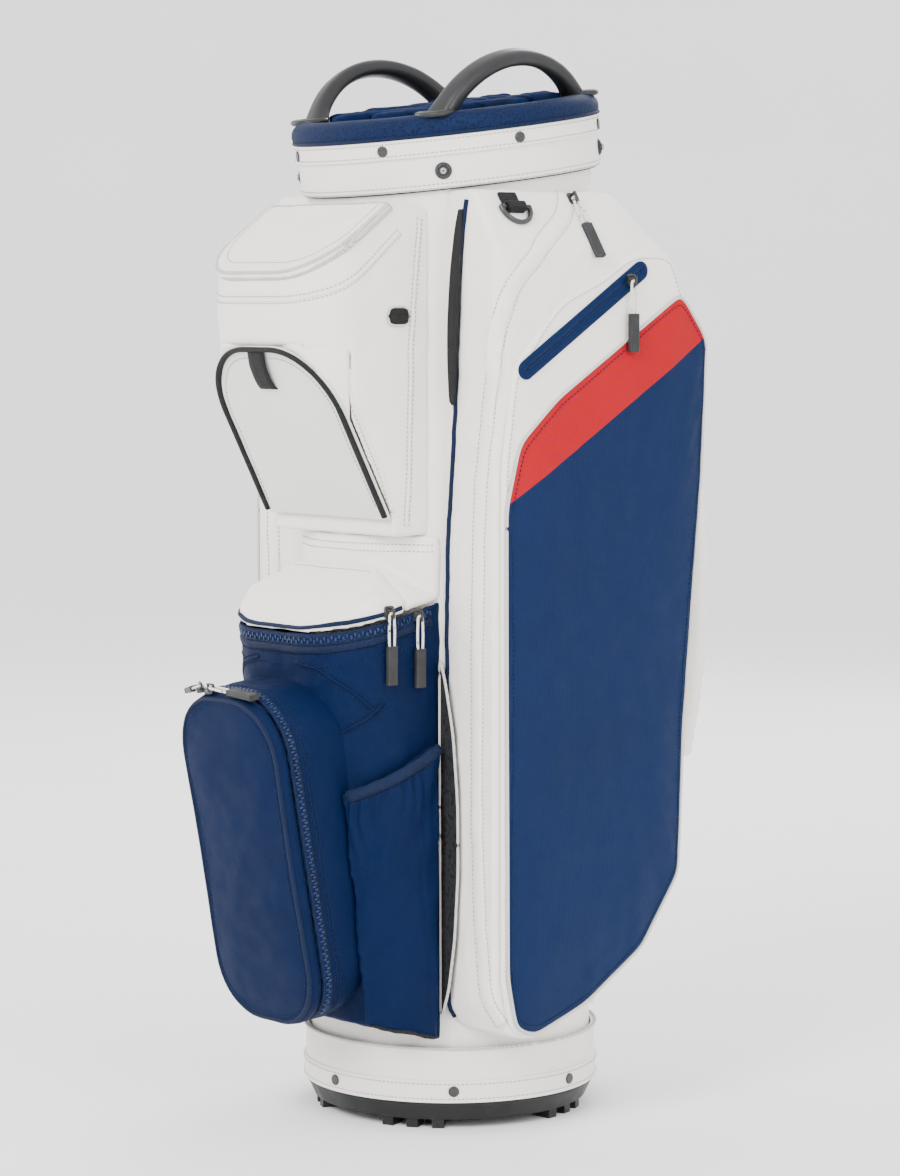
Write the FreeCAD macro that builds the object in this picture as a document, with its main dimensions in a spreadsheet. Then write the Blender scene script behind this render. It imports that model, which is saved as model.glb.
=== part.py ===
"""Cart-style golf bag: a stiff tube with a moulded base and a padded fourteen-way top,
hung with zipped pockets on the front and both sides.

The frame has +Z up and its origin on the floor under the tube's axis. The front pockets face -Y,
the spine that rests on a cart faces +Y, and the bag's right side is +X. Lengths are millimetres.
"""

import FreeCAD
import Part
import Sketcher

import math
import os
import re

Vector = FreeCAD.Vector
Rotation = FreeCAD.Rotation
Placement = FreeCAD.Placement

# Every driving dimension: alias, value in millimetres or degrees, and what it is.
DIMENSIONS = [
    ("tube_outer", 119, "outer radius of the main tube"),
    ("tube_wall", 2, "wall of the main tube"),
    ("tube_clear", 119.4, "radius that the pockets keep clear of the tube"),
    ("foot_height", 8, "height of the feet below the base cup"),
    ("cup_low", 118, "radius of the base cup at its lower edge"),
    ("cup_flange", 124, "radius of the base cup's flange"),
    ("cup_flange_top", 24, "height of the flange's top"),
    ("cup_outer", 122.6, "radius of the cup's wall"),
    ("cup_inner", 119.6, "radius of the cup's bore"),
    ("cup_top", 60, "height of the cup's wall"),
    ("cup_floor", 16, "height of the cup's inner floor"),
    ("base_band_inner", 122.8, "inner radius of the base collar"),
    ("base_band_outer", 125.4, "outer radius of the base collar"),
    ("base_hem_outer", 127, "outer radius of its folded hem"),
    ("base_hem_top", 43, "height of the hem's top"),
    ("base_band_top", 70, "height of the base collar's top"),
    ("rim_height", 798, "height of the rim plane on the tube's axis"),
    ("rim_shift", 1.4, "forward shift that centres the tilted rim on the tube"),
    ("rim_tilt", 8, "tilt of the rim, back edge up"),
    ("tube_top", 20, "tube's top edge above the rim plane"),
    ("frame_inner", 108, "inner radius of the top ring"),
    ("frame_outer", 125, "outer radius of the top ring"),
    ("frame_skirt", 122.4, "inner radius of the top ring's skirt"),
    ("frame_top", 46, "top of the top ring above the rim plane"),
    ("band_inner", 125.3, "inner radius of the top collar"),
    ("band_outer", 128.3, "outer radius of the top collar"),
    ("hem_outer", 130.6, "outer radius of the top collar's hem"),
    ("hem_low", 27, "lower edge of the hem above the rim plane"),
    ("band_top", 42, "top of the top collar above the rim plane"),
    ("cuff_outer", 130, "outer radius of the padded cuff"),
    ("cuff_inner", 104, "inner radius of the padded cuff"),
    ("cuff_top", 60, "top of the padded cuff above the rim plane"),
    ("rivet_head", 4.6, "radius of a rivet head"),
    ("rivet_shank", 2, "radius of a rivet shank"),
    ("rivet_height", 34, "height of the rivets in the base collar and above the rim plane"),
    ("rivet_count", 7, "rivets in each collar"),
    ("snap_angle", 42.5, "angle of the rain hood snaps from the X axis"),
    ("snap_height", 14, "height of the snaps above the rim plane"),
    ("snap_radius", 7, "radius of a snap stud"),
    ("bar_width", 12, "width of a padded divider bar"),
    ("bar_low", 24, "bottom of the divider bars above the rim plane"),
    ("bar_top", 64, "top of the divider bars above the rim plane"),
    ("row_pitch", 55, "distance between the long divider bars"),
    ("outer_row_offset", 27, "offset of the short bars in the first and last rows"),
    ("sheet_thick", 1.2, "thickness of a full-length divider sheet"),
    ("rod_radius", 3, "radius of a stay rod"),
    ("rod_circle", 112.4, "radius of the circle that the stay rods stand on"),
    ("handle_foot", 80, "offset of a handle's feet from the rim's centre, along X and Y"),
    ("handle_bow", 95, "offset of the handle's crown along X"),
    ("handle_low", 42, "height of the feet of the handle's centreline above the rim plane"),
    ("handle_rise", 98, "height of the handle's centreline above the rim plane"),
    ("handle_wide", 11, "half width of the grip"),
    ("handle_thick", 7.5, "half thickness of the grip"),
    ("upper_half", 80, "half width of the upper pocket"),
    ("upper_front", 208, "front of the upper pocket"),
    ("upper_round", 45, "radius of the upper pocket's front corners in plan"),
    ("ridge_height", 712, "height of the upper pocket's ridge"),
    ("shelf_height", 655, "height of the shelf between the upper pocket's two rooms"),
    ("upper_low", 512, "foot of the rangefinder flap"),
    ("upper_low_front", 133, "front of the upper pocket at that foot"),
    ("upper_floor", 500, "underside of the upper pocket"),
    ("shoulder_height", 770, "height of the upper pocket's fixed shoulder"),
    ("shoulder_front", 131, "front of that shoulder"),
    ("skin", 3, "wall of a pocket"),
    ("flap_thick", 5, "depth left in front of the lower room for the rangefinder flap"),
    ("flap_plate", 4, "thickness of the flap's plate"),
    ("flap_round", 62, "radius of the flap's upper corners"),
    ("lower_half", 88, "half width of the cooler pocket"),
    ("lower_front", 189, "front of the cooler pocket"),
    ("cooler_low", 75, "underside of the cooler pocket"),
    ("cooler_edge_front", 421, "height of the cooler's zip at the front"),
    ("cooler_edge_back", 437, "height of the cooler's zip at the lid's hinge"),
    ("lower_round", 60, "radius of the cooler pocket's corners in plan"),
    ("lower_lean", 7.15, "lean of the cooler pocket's front, top forward"),
    ("hip_half", 50, "half width of the lid's flat top, before it slopes to the sides"),
    ("hip_height", 449, "height of the lid's sloping sides at their outer edge"),
    ("neck_radius", 124.5, "outer radius of the padding round the neck"),
    ("neck_height", 474, "height of the lid's hinge at the neck"),
    ("neck_front", 122.5, "front of the neck, where the lid is hinged"),
    ("ball_half", 65, "half width of the ball pocket"),
    ("ball_low", 88, "underside of the ball pocket"),
    ("ball_top", 371, "top of the ball pocket"),
    ("ball_round", 50, "radius of the ball pocket's corners"),
    ("ball_lean", 10.5, "lean of the ball pocket, top forward"),
    ("ball_door_back", 236, "plane of the ball pocket's zip"),
    ("ball_edge", 4.5, "rounding of the door's front edge"),
    ("ball_front", 247, "front of the ball pocket's door"),
    ("side_face", 161.5, "outer face of a side pocket"),
    ("side_door_face", 168, "outer face of a side pocket's panel"),
    ("side_front", 86, "front of a side pocket"),
    ("side_back", 153, "back of a side pocket"),
    ("side_low", 84, "underside of a side pocket"),
    ("side_top", 784, "top of a side pocket"),
    ("shoulder_low", 735, "height where the side pocket's shoulder meets its face"),
    ("sleeve_face", 101, "outer face of a bottle sleeve"),
    ("sleeve_back", 96, "back edge of a bottle sleeve"),
    ("sleeve_front_top", 284, "height of the sleeve's hem at the front"),
    ("sleeve_back_top", 327, "height of the sleeve's hem at the back"),
    ("strap_half", 19, "half width of the strap webbing"),
    ("strap_pad_half", 32, "half width of the strap pad"),
    ("strap_pad_thick", 12, "thickness of the strap pad"),
    ("strap_side", 30, "offset of the strap along X"),
    ("cord_radius", 1.1, "radius of a zip pull's cord"),
    ("cord_lift", 5, "height of the cord over the zip"),
    ("cord_drop", 27, "length of the cord loop from bail to grip"),
    ("cord_turn", 2.4, "radius of the cord's turn round the bail"),
    ("grip_length", 32, "length of a zip pull's grip"),
    ("grip_width", 10, "width of a grip"),
    ("grip_thick", 5, "thickness of a grip"),
]

doc = FreeCAD.newDocument("cart_bag")
sheet = doc.addObject("Spreadsheet::Sheet", "Params")
for row, (alias, number, meaning) in enumerate(DIMENSIONS, start=1):
    sheet.set(f"A{row}", str(number))
    sheet.setAlias(f"A{row}", alias)
    sheet.set(f"B{row}", meaning)
doc.recompute()

ALIASES = {alias for alias, _, _ in DIMENSIONS}
ON_YZ = Rotation(Vector(1, 1, 1), 120)
ON_XZ = Rotation(Vector(1, 0, 0), 90)
ON_XY = Rotation()
SUBPARTS = []


def formula(text):
    """The expression with every alias given its sheet's name."""
    named = r"[a-z][a-z_]*"
    return re.sub(named, lambda m: "Params." + m.group() if m.group() in ALIASES else m.group(), text)


def size(text):
    """The number that an expression of aliases comes to."""
    return float(sheet.evalExpression(text))


def bind(thing, **properties):
    """Binds each property of an object to an expression of the sheet's aliases."""
    for name, text in properties.items():
        thing.setExpression(name, formula(text))
    return thing


def subpart(thing, label, place=None):
    """Names an object as one of the bag's pieces."""
    thing.Label = label
    if place is not None:
        thing.Placement = place
    SUBPARTS.append(thing)
    return thing


def draw(sketch, points):
    """A closed outline of straight runs, with both coordinates of each point bound to the sheet."""
    corners = [(size(a), size(b)) for a, b in points]
    count = len(corners)
    for i in range(count):
        start, end = corners[i], corners[(i + 1) % count]
        sketch.addGeometry(Part.LineSegment(Vector(*start, 0), Vector(*end, 0)))
    for i in range(count):
        sketch.addConstraint(Sketcher.Constraint("Coincident", i, 2, (i + 1) % count, 1))
    for i, texts in enumerate(points):
        for kind, text, number in zip(("DistanceX", "DistanceY"), texts, corners[i]):
            index = sketch.addConstraint(Sketcher.Constraint(kind, -1, 1, i, 1, number))
            sketch.setExpression(f"Constraints[{index}]", formula(text))
    return sketch


def prism(name, turn, points, low, high):
    """An outline drawn on a plane and extruded from low to high along the plane's normal."""
    sketch = doc.addObject("Sketcher::SketchObject", name + "_outline")
    sketch.Placement = turn if isinstance(turn, Placement) else Placement(Vector(), turn)
    draw(sketch, points)
    solid = doc.addObject("Part::Extrusion", name)
    solid.Base = sketch
    solid.DirMode = "Normal"
    solid.Solid = True
    return bind(solid, LengthFwd=high, LengthRev=f"-({low})")


def turned(name, points):
    """A body revolved about the Z axis from an outline of (radius, height) points."""
    body = doc.addObject("PartDesign::Body", name)
    sketch = body.newObject("Sketcher::SketchObject", name + "_profile")
    plane = next(p for p in body.Origin.OriginFeatures if p.Role == "XZ_Plane")
    sketch.AttachmentSupport = [(plane, "")]
    sketch.MapMode = "FlatFace"
    draw(sketch, points)
    solid = body.newObject("PartDesign::Revolution", name + "_turned")
    solid.Profile = sketch
    solid.ReferenceAxis = (sketch, ["V_Axis"])
    solid.Angle = 360
    return body


def block(name, lows, highs):
    """A box between two corners, each given as three expressions."""
    solid = doc.addObject("Part::Box", name)
    bind(solid, Length=f"{highs[0]} - ({lows[0]})", Width=f"{highs[1]} - ({lows[1]})")
    bind(solid, Height=f"{highs[2]} - ({lows[2]})")
    place = dict(zip(("Placement.Base.x", "Placement.Base.y", "Placement.Base.z"), lows))
    return bind(solid, **place)


def rod(name, radius, height):
    """A cylinder standing on the origin."""
    return bind(doc.addObject("Part::Cylinder", name), Radius=radius, Height=height)


def cut(name, base, *tools):
    """The base less each tool in turn."""
    for i, tool in enumerate(tools):
        solid = doc.addObject("Part::Cut", f"{name}_cut{i}")
        solid.Base = base
        solid.Tool = tool
        base = solid
    return base


def common(name, base, tool):
    """What two solids share."""
    solid = doc.addObject("Part::Common", name)
    solid.Base = base
    solid.Tool = tool
    return solid


def joined(name, *solids):
    """Solids fused into one."""
    whole = doc.addObject("Part::MultiFuse", name)
    whole.Shapes = list(solids)
    return whole


def group(name, solids):
    """Separate solids kept in one piece."""
    whole = doc.addObject("Part::Compound", name)
    whole.Links = list(solids)
    return whole


def fillet(name, base, radius, chosen):
    """The base with the edges that chosen accepts rounded."""
    doc.recompute()
    solid = doc.addObject("Part::Fillet", name)
    solid.Base = base
    reach = size(radius)
    edges = [i for i, edge in enumerate(base.Shape.Edges, start=1) if chosen(edge)]
    solid.Edges = [(i, reach, reach) for i in edges]
    return solid


def along(edge, axis):
    """Whether a straight edge runs along an axis."""
    if not isinstance(edge.Curve, Part.Line):
        return False
    return abs(abs(edge.Curve.Direction.dot(axis)) - 1) < 1e-6


RIM = Placement(Vector(0, size("rim_shift"), size("rim_height")), Rotation(Vector(1, 0, 0), size("rim_tilt")))


def tube_space(name):
    """The space that the main tube needs, which the pockets are cut back from."""
    return rod(name, "tube_clear", "rim_height + 100")


def around(radius, degrees, height, local=Rotation()):
    """A place on a circle about Z whose own Z axis points outwards."""
    angle = math.radians(degrees)
    spot = Vector(radius * math.cos(angle), radius * math.sin(angle), height)
    outward = Rotation(Vector(0, 0, 1), degrees) * Rotation(Vector(0, 1, 0), 90)
    return Placement(spot, outward * local)


# ---- the base ----------------------------------------------------------------------------


def base_cup():
    cup = turned("base_cup", [
        ("0", "foot_height"), ("cup_low", "foot_height"), ("cup_flange", "cup_flange_top - 3"),
        ("cup_flange", "cup_flange_top"), ("cup_outer", "cup_flange_top"), ("cup_outer", "cup_top"),
        ("cup_inner", "cup_top"), ("cup_inner", "cup_floor"), ("0", "cup_floor"),
    ])
    subpart(cup, "base_cup")


def base_feet():
    """Four clusters of three lugs that key into a cart's cradle, and a centre pad."""
    pad_radius = 22
    lug_long, lug_wide, lug_circle = 18, 10, 107
    pad = rod("centre_pad", str(pad_radius), "foot_height")
    lugs = [pad]
    for middle in (-56, -124, 20, 160):
        for step in (-11, 0, 11):
            lug = doc.addObject("Part::Box", "lug")
            bind(lug, Height="foot_height")
            lug.Length = lug_long
            lug.Width = lug_wide
            turn = Rotation(Vector(0, 0, 1), middle + step)
            corner = turn.multVec(Vector(lug_circle - lug_long / 2, -lug_wide / 2, 0))
            lug.Placement = Placement(corner, turn)
            lugs.append(lug)
    subpart(group("feet", lugs), "base_feet")


def collars():
    base = turned("base_collar", [
        ("base_band_inner", "cup_flange_top + 0.2"), ("base_hem_outer", "cup_flange_top + 0.2"),
        ("base_hem_outer", "base_hem_top"), ("base_band_outer", "base_hem_top"),
        ("base_band_outer", "base_band_top"), ("base_band_inner", "base_band_top"),
    ])
    subpart(base, "base_collar")
    top = turned("top_collar", [
        ("band_inner", "0"), ("band_outer", "0"), ("band_outer", "hem_low"), ("hem_outer", "hem_low"),
        ("hem_outer", "band_top"), ("band_inner", "band_top"),
    ])
    subpart(top, "top_collar", RIM)


def rivet(place, depth):
    """A domed rivet whose shank runs inwards through the collar."""
    shank = rod("shank", "rivet_shank", str(depth))
    shank.Placement = Placement(Vector(0, 0, -depth), Rotation())
    head = rod("head", "rivet_head", "1.4")
    head = fillet("rounded_head", head, "0.9", lambda e: e.BoundBox.ZMin > 1)
    whole = joined("rivet", shank, head)
    whole.Placement = place
    return whole


def rivets():
    """Seven rivets round each collar, the base's with one at the front, the top's with one at the back."""
    depth = 6
    step = 360 / size("rivet_count")
    count = int(size("rivet_count"))
    base = [rivet(around(size("base_hem_outer"), -90 + step * i, size("rivet_height")), depth) for i in range(count)]
    subpart(group("base_rivet_set", base), "base_rivets")
    top = [rivet(around(size("hem_outer"), 90 + step * i, size("rivet_height")), depth + 2) for i in range(count)]
    subpart(group("top_rivet_set", top), "top_rivets", RIM)


def snaps():
    """Snap studs for the rain hood, each a flange with a stud standing on it."""
    studs = []
    for side in (-1, 1):
        for angle in (-size("snap_angle"), size("snap_angle")):
            flange = rod("flange", "snap_radius", "1.2")
            stud = rod("stud", "snap_radius * 0.42", "3")
            shank = rod("snap_shank", "rivet_shank", "4")
            shank.Placement = Placement(Vector(0, 0, -4), Rotation())
            whole = joined("snap", flange, stud, shank)
            turn = angle if side > 0 else 180 - angle
            whole.Placement = around(size("band_outer"), turn, size("snap_height"))
            studs.append(whole)
    subpart(group("snap_set", studs), "hood_snaps", RIM)


# ---- the tube, the top and its dividers --------------------------------------------------


def above_rim(name, height):
    """A big block that holds everything over a plane parallel to the rim."""
    solid = doc.addObject("Part::Box", name)
    reach = 400
    solid.Length = reach
    solid.Width = reach
    solid.Height = reach
    solid.Placement = RIM.multiply(Placement(Vector(-reach / 2, -reach / 2, size(height)), Rotation()))
    return solid


def main_tube():
    outer = rod("tube_skin", "tube_outer", "rim_height + 60 - cup_floor")
    bore = rod("tube_bore", "tube_outer - tube_wall", "rim_height + 60 - cup_floor")
    tube = cut("tube", outer, bore, above_rim("tube_trim", "tube_top"))
    subpart(tube, "main_tube", Placement(Vector(0, 0, 0), Rotation()))
    for solid in (outer, bore):
        bind(solid, **{"Placement.Base.z": "cup_floor + 0.2"})


def stay_rods():
    """Three stays that hold the top ring off the base cup."""
    rods = []
    for angle in (90, 200, 340):
        spot = around(size("rod_circle"), angle, 0).Base
        stay = rod("stay", "rod_radius", "rim_height - cup_floor")
        rise = spot.y * math.tan(math.radians(size("rim_tilt")))
        bind(stay, Height=f"rim_height - cup_floor + {rise:.2f} + 12")
        stay.Placement = Placement(Vector(spot.x, spot.y, size("cup_floor + 0.2")), Rotation())
        rods.append(stay)
    subpart(group("stays", rods), "stay_rods")


def top_ring():
    ring = turned("top_ring", [
        ("frame_inner", "tube_top + 1"), ("frame_skirt", "tube_top + 1"), ("frame_skirt", "-2"),
        ("frame_outer", "-2"), ("frame_outer", "frame_top"), ("frame_inner", "frame_top"),
    ])
    subpart(ring, "top_ring", RIM)


def cuff_pad():
    """The padded cuff that caps the top ring."""
    cuff = turned("cuff_pad", [
        ("cuff_inner", "frame_top - 8"), ("frame_inner - 0.3", "frame_top - 8"),
        ("frame_inner - 0.3", "frame_top + 0.2"), ("frame_outer + 0.3", "frame_top + 0.2"),
        ("frame_outer + 0.3", "band_top + 0.2"), ("cuff_outer", "band_top + 0.2"),
        ("cuff_outer", "cuff_top - 7"), ("cuff_outer - 2", "cuff_top - 2.5"), ("cuff_outer - 7", "cuff_top"),
        ("cuff_inner + 7", "cuff_top"), ("cuff_inner + 2", "cuff_top - 2.5"), ("cuff_inner", "cuff_top - 7"),
    ])
    subpart(cuff, "cuff_pad", RIM)


def short_dividers():
    """(x, lower y, upper y) of the ten short dividers: two, three, three and two to a row."""
    pitch = size("row_pitch")
    rows = []
    for row, lines in enumerate(((-1, 1), (-1, 0, 1), (-1, 0, 1), (-1, 1))):
        outer = row in (0, 3)
        spread = size("outer_row_offset") if outer else pitch
        rows += [(line * spread, (row - 2) * pitch, (row - 1) * pitch) for line in lines]
    return rows


def divider_bars():
    """Padded bars across the mouth: three long ones and ten short ones make fourteen cells."""
    half = size("bar_width") / 2
    reach = size("cuff_inner") - 0.3
    pitch = size("row_pitch")
    gap = 0.3
    long_bars = []
    for row in (-1, 0, 1):
        far = abs(row) * pitch + half
        span = math.sqrt(reach**2 - far**2)
        lows = (f"{-span:.3f}", f"{row} * row_pitch - bar_width / 2", "bar_low")
        highs = (f"{span:.3f}", f"{row} * row_pitch + bar_width / 2", "bar_top")
        long_bars.append(block("long_bar", lows, highs))
    subpart(group("long_bars", long_bars), "divider_bars_long", RIM)
    short_bars = []
    for x, low, high in short_dividers():
        edge = math.sqrt(reach**2 - (abs(x) + half) ** 2)
        start = low + half + gap if low > -1.5 * pitch else -edge
        end = high - half - gap if high < 1.5 * pitch else edge
        lows = (f"{x} - bar_width / 2", f"{start:.3f}", "bar_low")
        highs = (f"{x} + bar_width / 2", f"{end:.3f}", "bar_top")
        short_bars.append(block("short_bar", lows, highs))
    subpart(group("short_bars", short_bars), "divider_bars_short", RIM)


def divider_sheets():
    """Full-length fabric walls that hang from the bars to the base."""
    half = size("sheet_thick") / 2
    bore = size("tube_outer") - size("tube_wall") - 0.4
    pitch = size("row_pitch")
    slope = math.tan(math.radians(size("rim_tilt")))
    gap = 0.2
    sheets = []
    for row in (-1, 0, 1):
        span = math.sqrt(bore**2 - (abs(row) * pitch + half) ** 2)
        top = f"rim_height + {slope * row * pitch:.3f} + bar_low - 4"
        lows = (f"{-span:.3f}", f"{row} * row_pitch - sheet_thick / 2", "cup_floor + 1")
        highs = (f"{span:.3f}", f"{row} * row_pitch + sheet_thick / 2", top)
        sheets.append(block("long_sheet", lows, highs))
    for x, low, high in short_dividers():
        edge = math.sqrt(bore**2 - (abs(x) + half) ** 2)
        start = low + half + gap if low > -1.5 * pitch else -edge
        end = high - half - gap if high < 1.5 * pitch else edge
        top = f"rim_height + {slope * start:.3f} + bar_low - 4"
        lows = (f"{x} - sheet_thick / 2", f"{start:.3f}", "cup_floor + 1")
        highs = (f"{x} + sheet_thick / 2", f"{end:.3f}", top)
        sheets.append(block("short_sheet", lows, highs))
    subpart(group("sheets", sheets), "divider_sheets")


def tube_along(name, sketch, section):
    """A section swept along every edge of a sketch."""
    doc.recompute()
    solid = doc.addObject("Part::Sweep", name)
    solid.Sections = [section]
    solid.Spine = (sketch, [f"Edge{i + 1}" for i in range(len(sketch.Shape.Edges))])
    solid.Solid = True
    solid.Frenet = True
    return solid


def handle(side, label):
    """A moulded grip bowed out over the cuff, with both ends moulded into the top ring."""
    foot, bow = size("handle_foot"), size("handle_bow")
    low, rise = size("handle_low"), size("handle_rise")
    sagitta = math.hypot(bow - foot, rise - low)
    radius = (foot**2 + sagitta**2) / (2 * sagitta)
    lean = Vector(side * (bow - foot), 0, rise - low).normalize()
    plane = Placement(Vector(side * foot, 0, low), Rotation(Vector(0, 1, 0), lean, Vector(), "XYZ"))
    path = doc.addObject("Sketcher::SketchObject", label + "_path")
    path.Placement = RIM.multiply(plane)
    half = math.asin(foot / radius)
    middle = Vector(0, sagitta - radius, 0)
    circle = Part.Circle(middle, Vector(0, 0, 1), radius)
    path.addGeometry(Part.ArcOfCircle(circle, math.pi / 2 - half, math.pi / 2 + half))
    section = doc.addObject("Part::Ellipse", label + "_section")
    bind(section, MajorRadius="handle_wide", MinorRadius="handle_thick")
    turn = Rotation(Vector(0, 0, 1), math.degrees(-half)) * Rotation(Vector(1, 0, 0), 90)
    start = Vector(radius * math.sin(half), radius * math.cos(half), 0) + middle
    across = Rotation(Vector(0, 0, 1), Vector(math.cos(half), math.sin(half), 0), Vector(), "XYZ")
    section.Placement = path.Placement.multiply(Placement(start, across))
    subpart(tube_along(label + "_grip", path, section), label)


# ---- the upper front pocket --------------------------------------------------------------


def upper_plan(name, grow=0):
    """The upper pocket's plan, round cornered in front, grown by an offset."""
    half, front = f"upper_half + {grow}", f"upper_front + {grow}"
    plan = block(name, (f"-({half})", f"-({front})", "upper_floor - 20"), (half, "-60", "rim_height"))
    upright = Vector(0, 0, 1)
    return fillet(name + "_round", plan, f"upper_round + {grow}", lambda e: along(e, upright) and e.BoundBox.YMax < -100)


def upper_pocket():
    """A shell with two rooms, open on top under the valuables lid and in front behind the flap."""
    half = "upper_half"
    deep = "-upper_front + flap_thick"
    skin = prism("upper_skin", ON_YZ, [
        ("-86", "shoulder_height"), ("-shoulder_front", "shoulder_height"),
        ("-upper_front", "ridge_height"), ("-upper_front", "shelf_height + 3"),
        (f"{deep}", "shelf_height + 3"), ("-upper_low_front + flap_thick", "upper_low + 3"),
        ("-upper_low_front + flap_thick", "upper_floor"), ("-86", "upper_floor"),
    ], f"-{half}", half)
    upper_room = prism("upper_room", ON_YZ, [
        ("-86", "shoulder_height - skin"), ("-shoulder_front - 2", "shoulder_height - skin"),
        ("-shoulder_front - 2", "shoulder_height + 20"), ("-upper_front - 20", "ridge_height + 20"),
        ("-upper_front - 20", "ridge_height"), ("-upper_front + skin", "ridge_height - 3"),
        ("-upper_front + skin", "shelf_height + 6"), ("-86", "shelf_height + 6"),
    ], f"-{half} + skin", f"{half} - skin")
    lower_room = prism("lower_room", ON_YZ, [
        ("-86", "shelf_height"), ("-upper_front - 20", "shelf_height"), ("-upper_front - 20", "upper_low + 5"),
        ("-upper_low_front + flap_thick + 1", "upper_low + 5"), ("-86", "upper_low + 5"),
    ], f"-{half} + skin", f"{half} - skin")
    skin = common("upper_outer", skin, upper_plan("upper_plan"))
    upper_room = common("upper_inner", upper_room, upper_plan("upper_room_plan", -size("skin")))
    shell = cut("upper_shell", skin, upper_room, lower_room, tube_space("upper_tube"))
    subpart(shell, "upper_pocket_shell")


def valuables_lid():
    """The sloping padded lid between the top collar and the pocket's ridge."""
    lid = prism("lid_plate", ON_YZ, [
        ("-shoulder_front - 1", "shoulder_height + 4.6"), ("-upper_front - 3", "ridge_height + 5"),
        ("-upper_front - 3", "ridge_height - 1"), ("-upper_front - 0.4", "ridge_height + 0.6"),
        ("-shoulder_front - 1", "shoulder_height + 0.3"),
    ], "-upper_half", "upper_half")
    subpart(common("lid_round", lid, upper_plan("lid_corner_plan", 3)), "valuables_lid")


def arched(name, half, low, high, thick, radius):
    """A plate in the local XZ plane whose two upper corners are rounded."""
    plate = block(name, (f"-({half})", "0", low), (half, thick, high))
    across = Vector(0, 1, 0)
    top = size(high) - 1
    return fillet(name + "_round", plate, radius, lambda e: along(e, across) and e.BoundBox.ZMin > top)


def rangefinder_flap():
    """The front panel of the upper pocket, hinged at its foot, with its arched trim and pull tab."""
    foot = Vector(0, -size("upper_low_front"), size("upper_low"))
    rise = Vector(0, -size("upper_front"), size("shelf_height")) - foot
    long = f"{rise.Length:.3f}"
    leaned = Placement(foot, Rotation(Vector(1, 0, 0), Vector(), rise, "XZY"))
    panel = arched("flap_panel", "upper_half - 5.2", "0.8", long + " - 5.2", "flap_plate", "flap_round - 5")
    subpart(panel, "rangefinder_flap", leaned)
    outer = arched("flap_outer", "upper_half", "0.8", long, "flap_plate", "flap_round")
    inner = arched("flap_inner", "upper_half - 5", "0", long + " - 5", "flap_plate", "flap_round - 5")
    subpart(cut("flap_edging", outer, inner), "flap_trim", leaned)
    tab = block("tab", ("-11", "-3.2", long + " - 38"), ("11", "-0.2", long + " - 3"))
    slot = block("tab_slot", ("-12", "-2.2", long + " - 34"), ("12", "-1.2", long + " - 8"))
    subpart(cut("tab_loop", tab, slot), "flap_pull_tab", leaned)


# ---- the lower front pockets -------------------------------------------------------------


def hip(name, drop=0):
    """The space under the cooler's top, which slopes down to both sides."""
    wide = "lower_half + 1"
    return prism(name, ON_XZ, [
        (f"-({wide})", "cooler_low"), (wide, "cooler_low"), (wide, f"hip_height - {drop}"),
        ("hip_half", f"neck_height + 0.5 - {drop}"), ("-hip_half", f"neck_height + 0.5 - {drop}"),
        (f"-({wide})", f"hip_height - {drop}"),
    ], "60", "220")


def front_yoke():
    """The stiffened neck that joins the two front pockets and carries the cooler's lid."""
    neck = prism("yoke", ON_YZ, [
        ("-80", "upper_floor - 0.3"), ("-neck_front + 0.6", "upper_floor - 0.3"),
        ("-neck_front + 0.6", "cooler_edge_back + 1"), ("-80", "cooler_edge_back + 11"),
    ], "-lower_half", "lower_half")
    room = joined("yoke_limit", hip("yoke_hip"), rod("yoke_ring", "neck_radius", "rim_height"))
    subpart(common("yoke_sloped", cut("yoke_neck", neck, tube_space("yoke_tube")), room), "front_yoke")


def lower_body(name, grow=0, seen_from=Placement()):
    """The cooler's outline, grown by an offset: round cornered in plan, and leaning towards the base."""
    lean = size("lower_lean")
    tilt = math.radians(lean)
    front = size("lower_front") * math.cos(tilt) - size("cooler_edge_front") * math.sin(tilt) + grow
    place = seen_from.inverse().multiply(Placement(Vector(), Rotation(Vector(1, 0, 0), lean)))
    half = f"lower_half + {grow}"
    corners = [(f"-({half})", "0"), (half, "0"), (half, str(-front)), (f"-({half})", str(-front))]
    plan = prism(name, place, corners, "20", "560")
    up = place.Rotation.multVec(Vector(0, 0, 1))
    home = place.inverse()

    def chosen(edge):
        return along(edge, up) and home.multVec(edge.CenterOfMass).y < -1

    return fillet(name + "_round", plan, f"lower_round + {grow}", chosen)


def cooler_shell():
    """An open-topped insulated box whose rim slopes down to the front."""
    skin = prism("cooler_skin", ON_YZ, [
        ("-80", "cooler_edge_back + 10"), ("-lower_front - 11", "cooler_edge_front - 2.6"),
        ("-lower_front - 11", "cooler_low + 32"), ("-80", "cooler_low"),
    ], "-lower_half - 1", "lower_half + 1")
    room = prism("cooler_room", ON_YZ, [
        ("-80", "neck_height"), ("-lower_front - 11", "neck_height"),
        ("-lower_front - 11", "cooler_low + 32 + skin"), ("-80", "cooler_low + skin"),
    ], "-lower_half - 1", "lower_half + 1")
    skin = common("cooler_outer", skin, lower_body("cooler_plan"))
    room = common("cooler_inner", room, lower_body("cooler_room_plan", -size("skin")))
    subpart(cut("cooler_box", skin, room, tube_space("cooler_tube")), "cooler_shell")


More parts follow.
